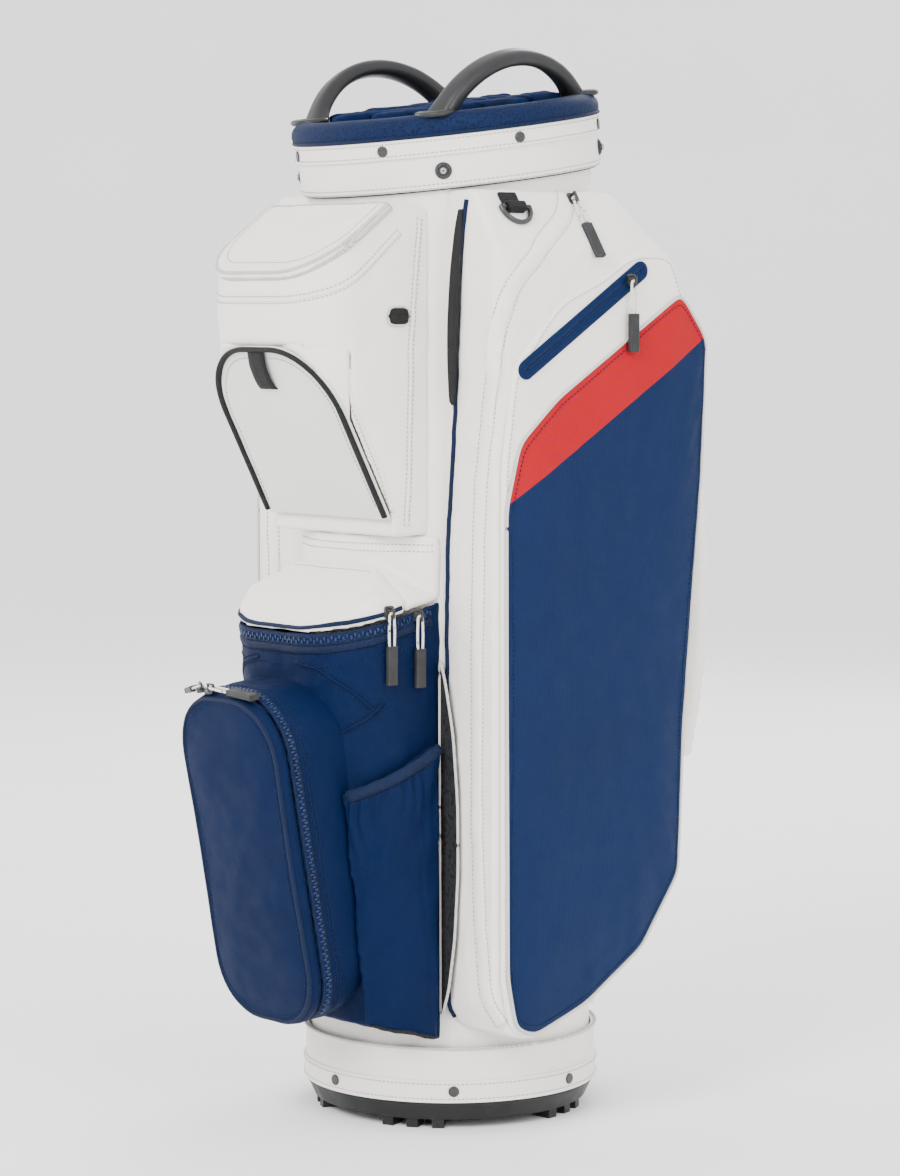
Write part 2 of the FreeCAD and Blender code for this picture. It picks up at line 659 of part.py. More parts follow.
def cooler_lid():
    """A hollow wedge that closes the cooler, hinged at the neck."""
    outer = prism("lid_skin", ON_YZ, [
        ("-neck_front", "neck_height"), ("-lower_front", "cooler_edge_front + 3"),
        ("-lower_front", "cooler_edge_front + 0.8"), ("-neck_front", "cooler_edge_back + 0.8"),
    ], "-lower_half - 1", "lower_half + 1")
    room = prism("lid_room", ON_YZ, [
        ("-neck_front - 3", "neck_height - 5.5"), ("-lower_front + 9", "cooler_edge_front + 6"),
        ("-lower_front + 9", "cooler_edge_front"), ("-neck_front - 3", "cooler_edge_front"),
    ], "-lower_half - 1", "lower_half + 1")
    outer = common("lid_outer", common("lid_sloped", outer, hip("lid_hip")), lower_body("lid_plan"))
    room = common("lid_inner", common("lid_room_sloped", room, hip("lid_room_hip", 6)), lower_body("lid_room_plan", -6))
    subpart(cut("wedge", outer, room), "cooler_lid")


def round_plate(name, half, low, high, back, front, radius):
    """A plate facing the front whose four corners are rounded."""
    plate = block(name, (f"-({half})", f"-({front})", low), (half, f"-({back})", high))
    across = Vector(0, 1, 0)
    return fillet(name + "_round", plate, radius, lambda e: along(e, across))


def ball_tilt():
    """The lean of the ball pocket about the middle of its top edge."""
    pivot = Vector(0, -(size("ball_door_back") + size("ball_front")) / 2, size("ball_top"))
    return Placement(Vector(), Rotation(Vector(1, 0, 0), size("ball_lean")), pivot)


def ball_pocket():
    """A deep tray that reaches back to the cooler's rounded front, closed by a padded door."""
    back, front = "lower_front - 80", "ball_door_back - 0.8"
    tray = round_plate("tray", "ball_half", "ball_low", "ball_top", back, front, "ball_round")
    room = round_plate(
        "tray_room", "ball_half - skin", "ball_low + skin", "ball_top - skin",
        back, front + " + 1", "ball_round - skin",
    )
    tray = cut("tray_fit", tray, lower_body("tray_back", 0.4, ball_tilt()))
    room = cut("tray_room_fit", room, lower_body("tray_room_back", 0.4 + size("skin"), ball_tilt()))
    subpart(cut("ball_tray", tray, room), "ball_pocket_shell", ball_tilt())
    door = round_plate("door", "ball_half", "ball_low", "ball_top", "ball_door_back", "ball_front", "ball_round")
    face = -size("ball_front") + 0.01
    door = fillet("ball_door_soft", door, "ball_edge", lambda e: e.BoundBox.YMax < face)
    subpart(door, "ball_pocket_door", ball_tilt())


def wrapped(name, inside, outside, outline, low, high):
    """The part of a layer round the cooler that lies inside an outline seen from the side."""
    layer = cut(name + "_layer", lower_body(name + "_out", outside), lower_body(name + "_in", inside))
    return common(name + "_piece", layer, prism(name + "_reach", ON_YZ, outline, low, high))


def bottle_sleeve(side, label):
    """A stretch sleeve for a drinks bottle, wrapped round the cooler's corner."""
    near, far = "ball_half + 1.5", "sleeve_face + 9"
    near_room = "ball_half + 3.5"
    reach = (near, far) if side > 0 else (f"-({far})", f"-({near})")
    reach_room = (near_room, far) if side > 0 else (f"-({far})", f"-({near_room})")
    skin = wrapped(label + "_skin", 0.5, size("sleeve_face - lower_half") - 0.5, [
        ("-lower_front - 11", "cooler_low + 33.4"), ("-lower_front - 11", "sleeve_front_top - 7.2"),
        ("-sleeve_back", "sleeve_back_top"), ("-sleeve_back", "cooler_low + 5.4"),
    ], *reach)
    room = wrapped(label + "_room", 2.5, size("sleeve_face - lower_half") - 2.5, [
        ("-lower_front - 11", "cooler_low + 36.5"), ("-lower_front - 11", "sleeve_back_top + 30"),
        ("-sleeve_back - 2", "sleeve_back_top + 30"), ("-sleeve_back - 2", "cooler_low + 9"),
    ], *reach_room)
    subpart(cut(label + "_pouch", skin, room), label)


# ---- the side pockets --------------------------------------------------------------------


def side_pocket(side, label):
    """A tall garment pocket: a shell that wraps the tube, its outer face left open for the door."""
    plan = [
        ("89", "-80"), ("side_face - 4", "-side_front"), ("side_face", "-side_front + 14"),
        ("side_face", "side_back - 28"), ("side_face - 14", "side_back"), ("118", "side_back - 3"),
        ("56", "116"), ("52", "60"), ("0", "60"), ("0", "0"),
    ]
    profile = [
        ("0", "side_top"), ("band_outer + 0.4", "side_top"), ("side_face", "shoulder_low"),
        ("side_face", "side_low - 10"), ("0", "side_low - 10"),
    ]
    outline = [
        ("-side_front - 2", "side_top + 1"), ("-side_front - 2", "side_low + 40"), ("-72", "side_low + 6"),
        ("-50", "side_low"), ("8", "side_low + 19"), ("75", "side_low + 60"), ("118", "side_low + 119"),
        ("123", "side_low + 246"), ("143", "side_low + 470"), ("148", "side_low + 584"),
        ("118", "side_low + 622"), ("68", "side_top + 1"),
    ]
    if side < 0:
        plan = [(f"-({x})", y) for x, y in plan]
        profile = [(f"-({x})", z) for x, z in profile]
    low, high = ("0", "side_face + 5") if side > 0 else ("-side_face - 5", "0")
    walls = prism(label + "_plan", ON_XY, plan, "side_low - 10", "side_top")
    cheeks = prism(label + "_profile", ON_XZ, profile, "-side_back", "side_front + 2")
    edges = prism(label + "_side", ON_YZ, outline, low, high)
    whole = common(label + "_whole", common(label + "_hull", walls, cheeks), edges)
    near, far = "tube_clear + 5", "side_face + 10"
    lows = (near if side > 0 else f"-({far})", "-side_front + 24", "side_low + 116")
    highs = (far if side > 0 else f"-({near})", "115", "side_low + 476")
    room = block(label + "_room", lows, highs)
    subpart(cut(label + "_case", whole, room, tube_space(label + "_tube")), label)


def outward(side, inner, outer):
    """The two X limits of a slab on one side of the bag, lower one first."""
    return (inner, outer) if side > 0 else (f"-({outer})", f"-({inner})")


def side_door(side, name):
    """The side pocket's whole outer face, hinged at the back, and the quilted panel on it."""
    low, high = outward(side, "side_face + 0.5", "side_face + 4.5")
    door = prism(name + "_plate", ON_YZ, [
        ("-side_front + 4", "side_low + 50"), ("-side_front + 4", "side_low + 476"),
        ("-70", "side_low + 556"), ("-20", "side_low + 612"), ("30", "side_low + 632"),
        ("60", "shoulder_low"), ("104", "shoulder_low"), ("116", "side_low + 618"),
        ("146", "side_low + 580"), ("141", "side_low + 470"), ("121", "side_low + 246"),
        ("116", "side_low + 121"), ("73", "side_low + 62"), ("7", "side_low + 21"),
        ("-50", "side_low + 2"), ("-72", "side_low + 8"),
    ], low, high)
    subpart(door, "apparel_door_" + name)
    low, high = outward(side, "side_face + 4.7", "side_door_face")
    panel = prism(name + "_panel", ON_YZ, [
        ("-side_front + 8", "side_low + 56"), ("-side_front + 6", "side_low + 440"),
        ("-66", "side_low + 493"), ("-25", "side_low + 529"), ("114", "side_low + 615"),
        ("143", "side_low + 578"), ("138", "side_low + 468"), ("118", "side_low + 246"),
        ("113", "side_low + 124"), ("71", "side_low + 65"), ("6", "side_low + 24"),
        ("-49", "side_low + 5"), ("-69", "side_low + 13"),
    ], low, high)
    subpart(panel, "side_panel_" + name)


def chest_strip():
    """The welded binding of the chest pocket's zip, laid slantwise across the right door."""
    long, wide, lean = 166, 16, 32.7
    strip = doc.addObject("Part::Box", "strip")
    strip.Length, strip.Width, strip.Height = 2, long, wide
    strip = fillet("strip_ends", strip, "7.6", lambda e: along(e, Vector(1, 0, 0)))
    turn = Rotation(Vector(1, 0, 0), lean)
    corner = turn.multVec(Vector(0, -long / 2, -wide / 2))
    middle = Vector(size("side_face + 4.7"), 4, 678)
    subpart(strip, "chest_zip_strip", Placement(middle + corner, turn))


# ---- hardware on the shoulder and the spine ----------------------------------------------


def shoulder_frame(y, down):
    """A place on the right shoulder's slope: Z points off the slope, Y points up it."""
    top = Vector(size("band_outer + 0.4"), y, size("side_top"))
    slope = Vector(size("side_face"), y, size("shoulder_low")) - top
    slope.normalize()
    normal = Vector(0, 1, 0).cross(slope) * -1
    return Placement(top + slope * down, Rotation(Vector(), -slope, normal, "ZYX"))


def d_ring():
    """A towel ring: webbing folded round the straight side of a steel D."""
    lift = 4.6
    strap = block("ring_strap", ("-10", "0", "0.4"), ("10", "16", "2.8"))
    fold = block("ring_fold", ("-10", "-4.4", "0.4"), ("10", "4", "8.8"))
    hole = rod("ring_hole", "2.6", "30")
    hole.Placement = Placement(Vector(-15, 0, lift), Rotation(Vector(0, 1, 0), 90))
    place = shoulder_frame(-51, 20)
    subpart(cut("ring_loop", joined("ring_webbing", strap, fold), hole), "d_ring_webbing", place)
    bow = doc.addObject("Part::Torus", "bow")
    bow.Radius1, bow.Radius2, bow.Angle3 = 15, 2.1, 180
    bow.Placement = Placement(Vector(0, 0, lift), Rotation(Vector(0, 0, 1), 180))
    bar = rod("bar", "2.1", "30")
    bar.Placement = Placement(Vector(-15, 0, lift), Rotation(Vector(0, 1, 0), 90))
    ends = []
    for x in (-15, 15):
        end = doc.addObject("Part::Sphere", "end")
        end.Radius = 2.1
        end.Placement = Placement(Vector(x, 0, lift), Rotation())
        ends.append(end)
    subpart(joined("ring", bow, bar, *ends), "d_ring", place)


def spine_panel():
    """The reinforced back that rests on a cart."""
    plate = block("spine", ("-50", "95", "cooler_low"), ("50", "tube_outer + 8", "shoulder_height + 5"))
    plate = fillet("spine_soft", plate, "4", lambda e: along(e, Vector(0, 0, 1)) and e.BoundBox.YMin > 100)
    subpart(cut("spine_plate", plate, tube_space("spine_tube")), "spine_panel")


def strap():
    """A shoulder strap bowed in one arc behind the bag, with its pad, slide and two anchors."""
    root = size("tube_outer") + 24
    bow, half, middle = 95, 312, 438
    radius = (half**2 + bow**2) / (2 * bow)
    axis = Placement(Vector(0, root + bow - radius, middle), Rotation(Vector(0, 1, 0), 90))
    side = "strap_side"

    def bent(name, inner, outer, wide, top, low=None):
        """A stretch of an arc-shaped band between two heights."""
        skin = rod(name + "_outer", str(outer), f"2 * ({wide})")
        bore = rod(name + "_inner", str(inner), f"2 * ({wide})")
        for solid in (skin, bore):
            solid.Placement = axis
            bind(solid, **{"Placement.Base.x": f"{side} - ({wide})"})
        bottom = -top if low is None else low
        lows = (f"{side} - 60", str(root), str(middle + bottom))
        room = block(name + "_room", lows, (f"{side} + 60", str(root + 200), str(middle + top)))
        return common(name, cut(name + "_band", skin, bore), room)

    subpart(bent("webbing", radius - 1.2, radius + 1.2, "strap_half", half + 5), "strap_webbing")
    pad = bent("pad", radius + 1.5, radius + 1.5 + size("strap_pad_thick"), "strap_pad_half", 150)
    pad = fillet("pad_soft", pad, "3.5", lambda e: e.Length > 200)
    subpart(pad, "strap_pad")
    slide = bent("slide", radius + 1.5, radius + 5, "strap_half + 4", 262, 240)
    subpart(slide, "strap_buckle")
    anchors = []
    for height in (middle - half + 4, middle + half - 4):
        lows = (f"{side} - 8", "tube_outer + 8.3", f"{height} - 10")
        anchors.append(block("anchor", lows, (f"{side} + 8", str(root - 9), f"{height} + 10")))
    subpart(group("anchors", anchors), "strap_anchors")


# ---- the zip pulls -----------------------------------------------------------------------


def slider(name):
    """A zip slider: a flat body with a bridge that the cord is threaded under."""
    base = block(name + "_base", ("-4.5", "-4.4", "0.4"), ("4.5", "6", "2.6"))
    base = fillet(name + "_base_round", base, "2.5", lambda e: along(e, Vector(0, 0, 1)))
    bridge = block(name + "_bridge", ("-0.9", "-4.2", "2"), ("0.9", "4.2", "cord_lift + 3.2"))
    under = block(name + "_under", ("-2", "-3.1", "2.6"), ("2", "3.1", "cord_lift + 2"))
    return joined(name, base, cut(name + "_arch", bridge, under))


def cord_path(name):
    """One leg, the turn under the bridge, and the other leg."""
    path = doc.addObject("Sketcher::SketchObject", name + "_path")
    turn, reach = size("cord_turn"), size("cord_drop") + 4
    ends = [Vector(side * turn, -reach, 0) for side in (-1, 1)]
    tops = [Vector(side * turn, -turn, 0) for side in (-1, 1)]
    path.addGeometry(Part.LineSegment(ends[0], tops[0]))
    circle = Part.Circle(Vector(0, -turn, 0), Vector(0, 0, 1), turn)
    path.addGeometry(Part.ArcOfCircle(circle, 0, math.pi))
    path.addGeometry(Part.LineSegment(tops[1], ends[1]))
    return path


def cord(name):
    """The cord loop as a plain round tube."""
    path = cord_path(name)
    section = doc.addObject("Part::Circle", name + "_section")
    bind(section, Radius="cord_radius")
    start = Vector(-size("cord_turn"), -size("cord_drop") - 4, 0)
    section.Placement = Placement(start, Rotation(Vector(1, 0, 0), 90))
    return tube_along(name, path, section)


def grip(name):
    """The moulded grip, bored for the cord's two legs."""
    lows = ("-grip_width / 2", "-cord_drop - grip_length", "-grip_thick / 2")
    solid = block(name + "_bar", lows, ("grip_width / 2", "-cord_drop", "grip_thick / 2"))
    solid = fillet(name + "_soft", solid, "1.6", lambda e: along(e, Vector(0, 1, 0)))
    bores = []
    for side in (-1, 1):
        bore = rod(f"{name}_bore", "cord_radius + 0.15", "12")
        start = Vector(side * size("cord_turn"), -size("cord_drop") - 6, 0)
        bore.Placement = Placement(start, Rotation(Vector(1, 0, 0), -90))
        bores.append(bore)
    return cut(name, solid, *bores)


def zip_pull(label, spot, normal, up, droop=0):
    """A slider with its cord and grip; the pull hangs away from up and may droop off the slider."""
    seat = Placement(Vector(*spot), Rotation(Vector(), Vector(*up), Vector(*normal), "ZYX"))
    subpart(slider(label + "_base"), label + "_slider", seat)
    lifted = Placement(Vector(0, 0, size("cord_lift")), Rotation(Vector(1, 0, 0), droop))
    hung = seat.multiply(lifted)
    subpart(cord(label + "_loop"), label + "_cord", hung)
    subpart(grip(label + "_tab"), label + "_grip", hung)


def zip_pulls():
    top = size("ball_top")
    across = -(size("ball_door_back") + size("ball_front")) / 2
    off = ball_tilt().Rotation.multVec(Vector(0, 0, 1))
    turned_back = ball_tilt().Rotation.multVec(Vector(0.906, -0.423, 0))
    zip_pull("ball_zip_right", (-18, across, top), tuple(off), (-1, 0, 0), 3.5)
    zip_pull("ball_zip_left", (-32, across, top), tuple(off), tuple(turned_back), 14)
    edge = size("cooler_edge_front") + 16 / 67 * (size("lower_front") - 140)
    zip_pull("cooler_zip_front", (size("lower_half"), -140, edge + 6), (1, 0, 0), (0, 0, 1))
    zip_pull("cooler_zip_rear", (size("lower_half"), -110, edge + 2), (1, 0, 0), (0, 0, 1))
    chest = size("side_face + 6.7")
    zip_pull("chest_zip", (chest, 54, 710), (1, 0, 0), (0, 0, 1))
    seat = shoulder_frame(19, 9)
    normal = seat.Rotation.multVec(Vector(0, 0, 1))
    up = seat.Rotation.multVec(Vector(0, 1, 0))
    zip_pull("shoulder_zip", tuple(seat.Base), tuple(normal), tuple(up))


# ---- putting it together -----------------------------------------------------------------


def build():
    base_cup()
    base_feet()
    collars()
    rivets()
    snaps()
    main_tube()
    stay_rods()
    top_ring()
    cuff_pad()
    divider_bars()
    divider_sheets()
    upper_pocket()
    valuables_lid()
    rangefinder_flap()
    front_yoke()
    cooler_shell()
    cooler_lid()
    ball_pocket()
    chest_strip()
    d_ring()
    spine_panel()
    strap()
    for side, name in ((1, "right"), (-1, "left")):
        handle(side, "handle_" + name)
        bottle_sleeve(side, "bottle_sleeve_" + name)
        side_pocket(side, "apparel_shell_" + name)
        side_door(side, name)
    zip_pulls()


def check_and_export():
    """Stops on any broken object, then writes each piece to its own STEP file."""
    doc.recompute()
    for thing in doc.Objects:
        if {"Invalid", "Error"} & set(thing.State):
            raise RuntimeError(f"{thing.Label} did not compute: {thing.State}")
    os.makedirs("parts", exist_ok=True)
    for thing in SUBPARTS:
        shape = thing.Shape
        if shape.isNull() or not shape.isValid() or shape.Volume <= 0:
            raise RuntimeError(f"{thing.Label} has no valid solid")
        shape.exportStep(f"parts/{thing.Label}.step")
        box = shape.BoundBox
        spans = [f"{a:.1f}..{b:.1f}" for a, b in
                 ((box.XMin, box.XMax), (box.YMin, box.YMax), (box.ZMin, box.ZMax))]
        print(f"{thing.Label:22s} {len(shape.Solids):3d} solids {shape.Volume / 1000:9.2f} cm3  {'  '.join(spans)}")


def check_cords():
    """Prints each cord's radii and compares its volume with section times length."""
    radius, turn = size("cord_radius"), size("cord_turn")
    length = 2 * (size("cord_drop") + 4 - turn) + math.pi * turn
    expected = math.pi * radius**2 * length
    for thing in SUBPARTS:
        if thing.Label.endswith("_cord"):
            ratio = thing.Shape.Volume / expected
            print(f"{thing.Label}: radius {radius}, turn {turn}, length {length:.1f}, volume ratio {ratio:.4f}")


build()
check_and_export()
check_cords()
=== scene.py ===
"""The looks of a cart-style golf bag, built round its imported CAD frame."""

import math

import bmesh
import bpy
import numpy as np
from mathutils import Matrix, Vector, noise
from mathutils.bvhtree import BVHTree
from mathutils.kdtree import KDTree


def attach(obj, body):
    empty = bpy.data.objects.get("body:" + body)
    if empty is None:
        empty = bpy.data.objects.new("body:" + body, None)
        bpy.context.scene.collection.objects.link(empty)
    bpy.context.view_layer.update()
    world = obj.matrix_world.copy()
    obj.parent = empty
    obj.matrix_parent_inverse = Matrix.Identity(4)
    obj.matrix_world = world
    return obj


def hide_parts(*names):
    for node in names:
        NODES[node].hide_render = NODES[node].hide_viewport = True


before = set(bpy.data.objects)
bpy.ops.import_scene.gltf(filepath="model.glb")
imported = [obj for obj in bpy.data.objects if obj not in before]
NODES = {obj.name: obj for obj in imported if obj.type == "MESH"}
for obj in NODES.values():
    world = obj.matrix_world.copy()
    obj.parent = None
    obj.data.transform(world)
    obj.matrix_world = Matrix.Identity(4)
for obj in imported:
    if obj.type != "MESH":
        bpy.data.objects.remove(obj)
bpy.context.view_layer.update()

RIM = Matrix.Translation((0, 0.0014, 0.798)) @ Matrix.Rotation(math.radians(8), 4, "X")

# The front pockets' outsides, as seen from above: half width, front, and corner radius.
UPPER_HALF, UPPER_FRONT, UPPER_CORNER = 0.080, -0.208, 0.045
COOLER_HALF, COOLER_FRONT, COOLER_CORNER = 0.088, -0.189, 0.060
COOLER_TOP, COOLER_LEAN = 0.421, math.radians(7.15)  # height that front is given at, and its lean below it
NECK_RADIUS = 0.1245
POCKET_FRONT = -0.0875  # the side pockets' flat fronts

WHITE = (0.82, 0.795, 0.74)
GREY_WHITE = (0.70, 0.695, 0.665)
BLUE = (0.0006, 0.0068, 0.035)
BRIGHT_BLUE = (0.0011, 0.0100, 0.047)
NAVY = (0.0010, 0.006, 0.026)
RED = (0.36, 0.0018, 0.0035)
BLACK = (0.006, 0.006, 0.0065)


# ---- materials ---------------------------------------------------------------------------


class Shader:
    """A small builder for a node material."""

    def __init__(self, name, rough, spec=0.5):
        self.material = bpy.data.materials.new(name)
        self.material.use_nodes = True
        self.tree = self.material.node_tree
        self.surface = self.tree.nodes["Principled BSDF"]
        self.surface.inputs["Roughness"].default_value = rough
        self.surface.inputs["Specular IOR Level"].default_value = spec
        self.place = self.node("ShaderNodeTexCoord").outputs["Object"]

    def node(self, kind, **settings):
        made = self.tree.nodes.new(kind)
        for key, value in settings.items():
            setattr(made, key, value)
        return made

    def link(self, start, end):
        self.tree.links.new(start, end)

    def math(self, operation, first, second):
        made = self.node("ShaderNodeMath", operation=operation)
        for socket, value in zip(made.inputs, (first, second)):
            if isinstance(value, (int, float)):
                socket.default_value = value
            else:
                self.link(value, socket)
        return made.outputs[0]

    def noise(self, scale, detail=3.0, rough=0.55, stretch=None):
        made = self.node("ShaderNodeTexNoise")
        made.inputs["Scale"].default_value = scale
        made.inputs["Detail"].default_value = detail
        made.inputs["Roughness"].default_value = rough
        self.link(self.stretched(stretch), made.inputs["Vector"])
        return made.outputs["Fac"]

    def stretched(self, stretch):
        if stretch is None:
            return self.place
        mapping = self.node("ShaderNodeMapping")
        mapping.inputs["Scale"].default_value = stretch
        self.link(self.place, mapping.inputs["Vector"])
        return mapping.outputs["Vector"]

    def cells(self, scale, stretch=None):
        made = self.node("ShaderNodeTexVoronoi")
        made.inputs["Scale"].default_value = scale
        self.link(self.stretched(stretch), made.inputs["Vector"])
        return made.outputs["Distance"]

    def threads(self, pitch, turn):
        """Parallel threads of one pitch, in metres, across a direction in space."""
        made = self.node("ShaderNodeTexWave", wave_type="BANDS", bands_direction="X", wave_profile="SIN")
        made.inputs["Scale"].default_value = 0.31416 / pitch
        made.inputs["Distortion"].default_value = 0.6
        made.inputs["Detail"].default_value = 1.0
        mapping = self.node("ShaderNodeMapping")
        mapping.inputs["Rotation"].default_value = turn
        self.link(self.place, mapping.inputs["Vector"])
        self.link(mapping.outputs["Vector"], made.inputs["Vector"])
        return made.outputs["Fac"]

    def ramp(self, value, low, high, start=0.0, end=1.0):
        made = self.node("ShaderNodeMapRange")
        self.link(value, made.inputs["Value"])
        for key, number in (("From Min", low), ("From Max", high), ("To Min", start), ("To Max", end)):
            made.inputs[key].default_value = number
        return made.outputs["Result"]

    def mix(self, factor, first, second):
        made = self.node("ShaderNodeMix", data_type="RGBA")
        self.link(factor, made.inputs["Factor"])
        for socket, value in ((made.inputs["A"], first), (made.inputs["B"], second)):
            if isinstance(value, tuple):
                socket.default_value = (*value, 1)
            else:
                self.link(value, socket)
        return made.outputs["Result"]

    def colour(self, value):
        self.link(value, self.surface.inputs["Base Color"])

    def blotched(self, scale, first, second):
        """One colour with soft blotches of another."""
        return self.mix(self.ramp(self.noise(scale, 4), 0.35, 0.7), first, second)

    def uneven(self, scale, low, high):
        """A roughness that wanders between two values."""
        self.link(self.ramp(self.noise(scale, 3), 0.3, 0.7, low, high), self.surface.inputs["Roughness"])

    def bump(self, value, distance, strength):
        made = self.node("ShaderNodeBump")
        made.inputs["Distance"].default_value = distance
        made.inputs["Strength"].default_value = strength
        self.link(value, made.inputs["Height"])
        previous = self.surface.inputs["Normal"]
        if previous.is_linked:
            self.link(previous.links[0].from_socket, made.inputs["Normal"])
        self.link(made.outputs["Normal"], previous)

    def sheen(self, weight):
        self.surface.inputs["Sheen Weight"].default_value = weight
        self.surface.inputs["Sheen Roughness"].default_value = 0.4


def shade(colour, factor):
    """A lighter or darker version of a colour."""
    return tuple(min(1.0, c * factor) for c in colour)


def weave(self, pitch, depth):
    """An over-and-under weave from two sets of threads, as bump."""
    across = self.threads(pitch, (0, 0, math.radians(40)))
    upright = self.threads(pitch, (0, math.radians(90), 0))
    crossed = self.math("MULTIPLY", across, upright)
    self.bump(crossed, depth, 0.8)
    return crossed


def cloth(name, colour, pitch=0.0011, rough=0.62, soil_and_glint=0.05, depth=0.00012, sheen=0.04):
    """Coated woven polyester: a fine weave, faint blotches, creases and flecks of painted highlight on the weave's
    crossings.
    """
    made = Shader(name, rough, 0.08)
    crossed = weave(made, pitch, depth)
    blotch = made.noise(9, 4)
    toned = made.mix(made.ramp(blotch, 0.35, 0.7), colour, shade(colour, 1 - soil_and_glint * 1.6))
    grain = made.noise(900, 2)
    # One amount sets both the darker blotches, which are soil, and the lighter flecks on the weave's raised
    # crossings, which are a painted highlight.
    made.colour(made.mix(made.ramp(made.math("MULTIPLY", grain, crossed), 0.05, 0.5), toned, shade(colour, 1 + soil_and_glint)))
    made.uneven(60, rough - 0.07, rough + 0.08)
    made.bump(made.noise(34, 5, 0.6, (1, 1, 0.55)), 0.0011, 0.35)
    made.sheen(sheen)
    return made.material


def banded_cloth(name, colour, band, slope, low):
    """Panel cloth with a printed band above a slanted line, and flecks of painted highlight on the weave's crossings.
    """
    made = Shader(name, 0.5, 0.12)
    crossed = weave(made, 0.0012, 0.00012)
    parts = made.node("ShaderNodeSeparateXYZ")
    made.link(made.place, parts.inputs[0])
    line = made.math("SUBTRACT", parts.outputs["Z"], made.math("MULTIPLY", parts.outputs["Y"], slope))
    above = made.math("GREATER_THAN", line, low)
    blotch = made.ramp(made.noise(8, 4), 0.35, 0.7)
    ground = made.mix(blotch, colour, shade(colour, 0.86))
    printed = made.mix(blotch, band, shade(band, 0.92))
    both = made.mix(above, ground, printed)
    # Painted highlight: the weave's raised crossings lightened in flecks.
    grain = made.ramp(made.math("MULTIPLY", made.noise(900, 2), crossed), 0.05, 0.5, 0, 0.35)
    made.colour(made.mix(grain, both, shade(colour, 1.7)))
    edge = made.math("ABSOLUTE", made.math("SUBTRACT", line, low), 0.0)
    made.bump(made.ramp(edge, 0, 0.0012), 0.0004, 0.7)
    made.bump(made.noise(30, 5, 0.6, (1, 1, 0.5)), 0.0010, 0.3)
    made.uneven(60, 0.44, 0.6)
    made.sheen(0.008)
    return made.material


def mesh_cloth(name, colour, pitch, depth=0.0006, hole_shade=0.55):
    """Open knitted mesh: a lattice of small holes, darkened with painted shade, with a painted highlight on the knit
    between them.
    """
    made = Shader(name, 0.75, 0.15)
    cell = made.cells(1 / pitch, stretch=(1, 1, 0.8))
    pit = made.ramp(cell, 0.18, 0.5)
    # Painted shade in the holes and a painted highlight on the knit between them.
    made.colour(made.mix(pit, shade(colour, 1 - hole_shade), shade(colour, 1.15)))
    made.bump(pit, depth, 0.8)
    made.bump(made.noise(25, 4), 0.0014, 0.3)
    made.sheen(0.01)
    return made.material


def moulded(name, colour, rough=0.45, grain=420, depth=0.00012, wear=0.5):
    """Moulded plastic with a spark-eroded grain and rubbed edges."""
    made = Shader(name, rough, 0.3)
    texture = made.noise(grain, 3)
    made.bump(texture, depth, 0.7)
    pointed = made.node("ShaderNodeNewGeometry").outputs["Pointiness"]
    rubbed = made.math("MULTIPLY", made.ramp(pointed, 0.52, 0.6), made.ramp(made.noise(70, 4), 0.4, 0.7))
    lighter = tuple(c * (1 + wear) + 0.006 for c in colour)
    ground = made.blotched(14, colour, shade(colour, 1.5))
    made.colour(made.mix(rubbed, ground, lighter))
    made.uneven(45, rough - 0.08, rough + 0.1)
    return made.material


def webbing(name, colour, pitch=0.0016):
    """Woven tape with ribs along its length, with painted shade in the grooves and a painted highlight on the rib
    tops.
    """
    made = Shader(name, 0.7, 0.2)
    ribs = made.math("MULTIPLY", made.threads(pitch, (0, 0, 0)), made.threads(pitch * 0.7, (0, math.radians(90), 0)))
    made.bump(ribs, 0.00035, 0.9)
    # Painted shade in the grooves between the ribs and a painted highlight on their tops.
    made.colour(made.mix(made.ramp(ribs, 0, 1), shade(colour, 0.6), shade(colour, 1.6)))
    made.sheen(0.01)
    return made.material


def flecked(name, colour, fleck):
    """Braided cord, white with a spiral of dark flecks."""
    made = Shader(name, 0.7)
    braid = made.cells(900, stretch=(1, 1, 0.7))
    made.bump(braid, 0.0003, 0.9)
    spots = made.math("LESS_THAN", made.cells(330, stretch=(1, 1, 0.6)), 0.27)
    made.colour(made.mix(spots, made.mix(made.ramp(braid, 0, 0.8), colour, shade(colour, 0.72)), fleck))
    made.sheen(0.2)
    return made.material


def metal(name, colour, rough=0.3):
    """Bare drawn metal, faintly stained."""
    made = Shader(name, rough)
    made.surface.inputs["Metallic"].default_value = 1.0
    made.bump(made.noise(300, 3), 0.00005, 0.5)
    made.colour(made.blotched(40, colour, shade(colour, 0.7)))
    made.uneven(80, rough - 0.08, rough + 0.12)
    return made.material


def enamel(name, colour, rough=0.3):
    """Baked black finish over metal."""
    made = Shader(name, rough, 0.6)
    made.bump(made.noise(220, 3), 0.00006, 0.5)
    made.colour(made.blotched(60, colour, shade(colour, 2.0)))
    made.uneven(90, rough - 0.08, rough + 0.1)
    return made.material


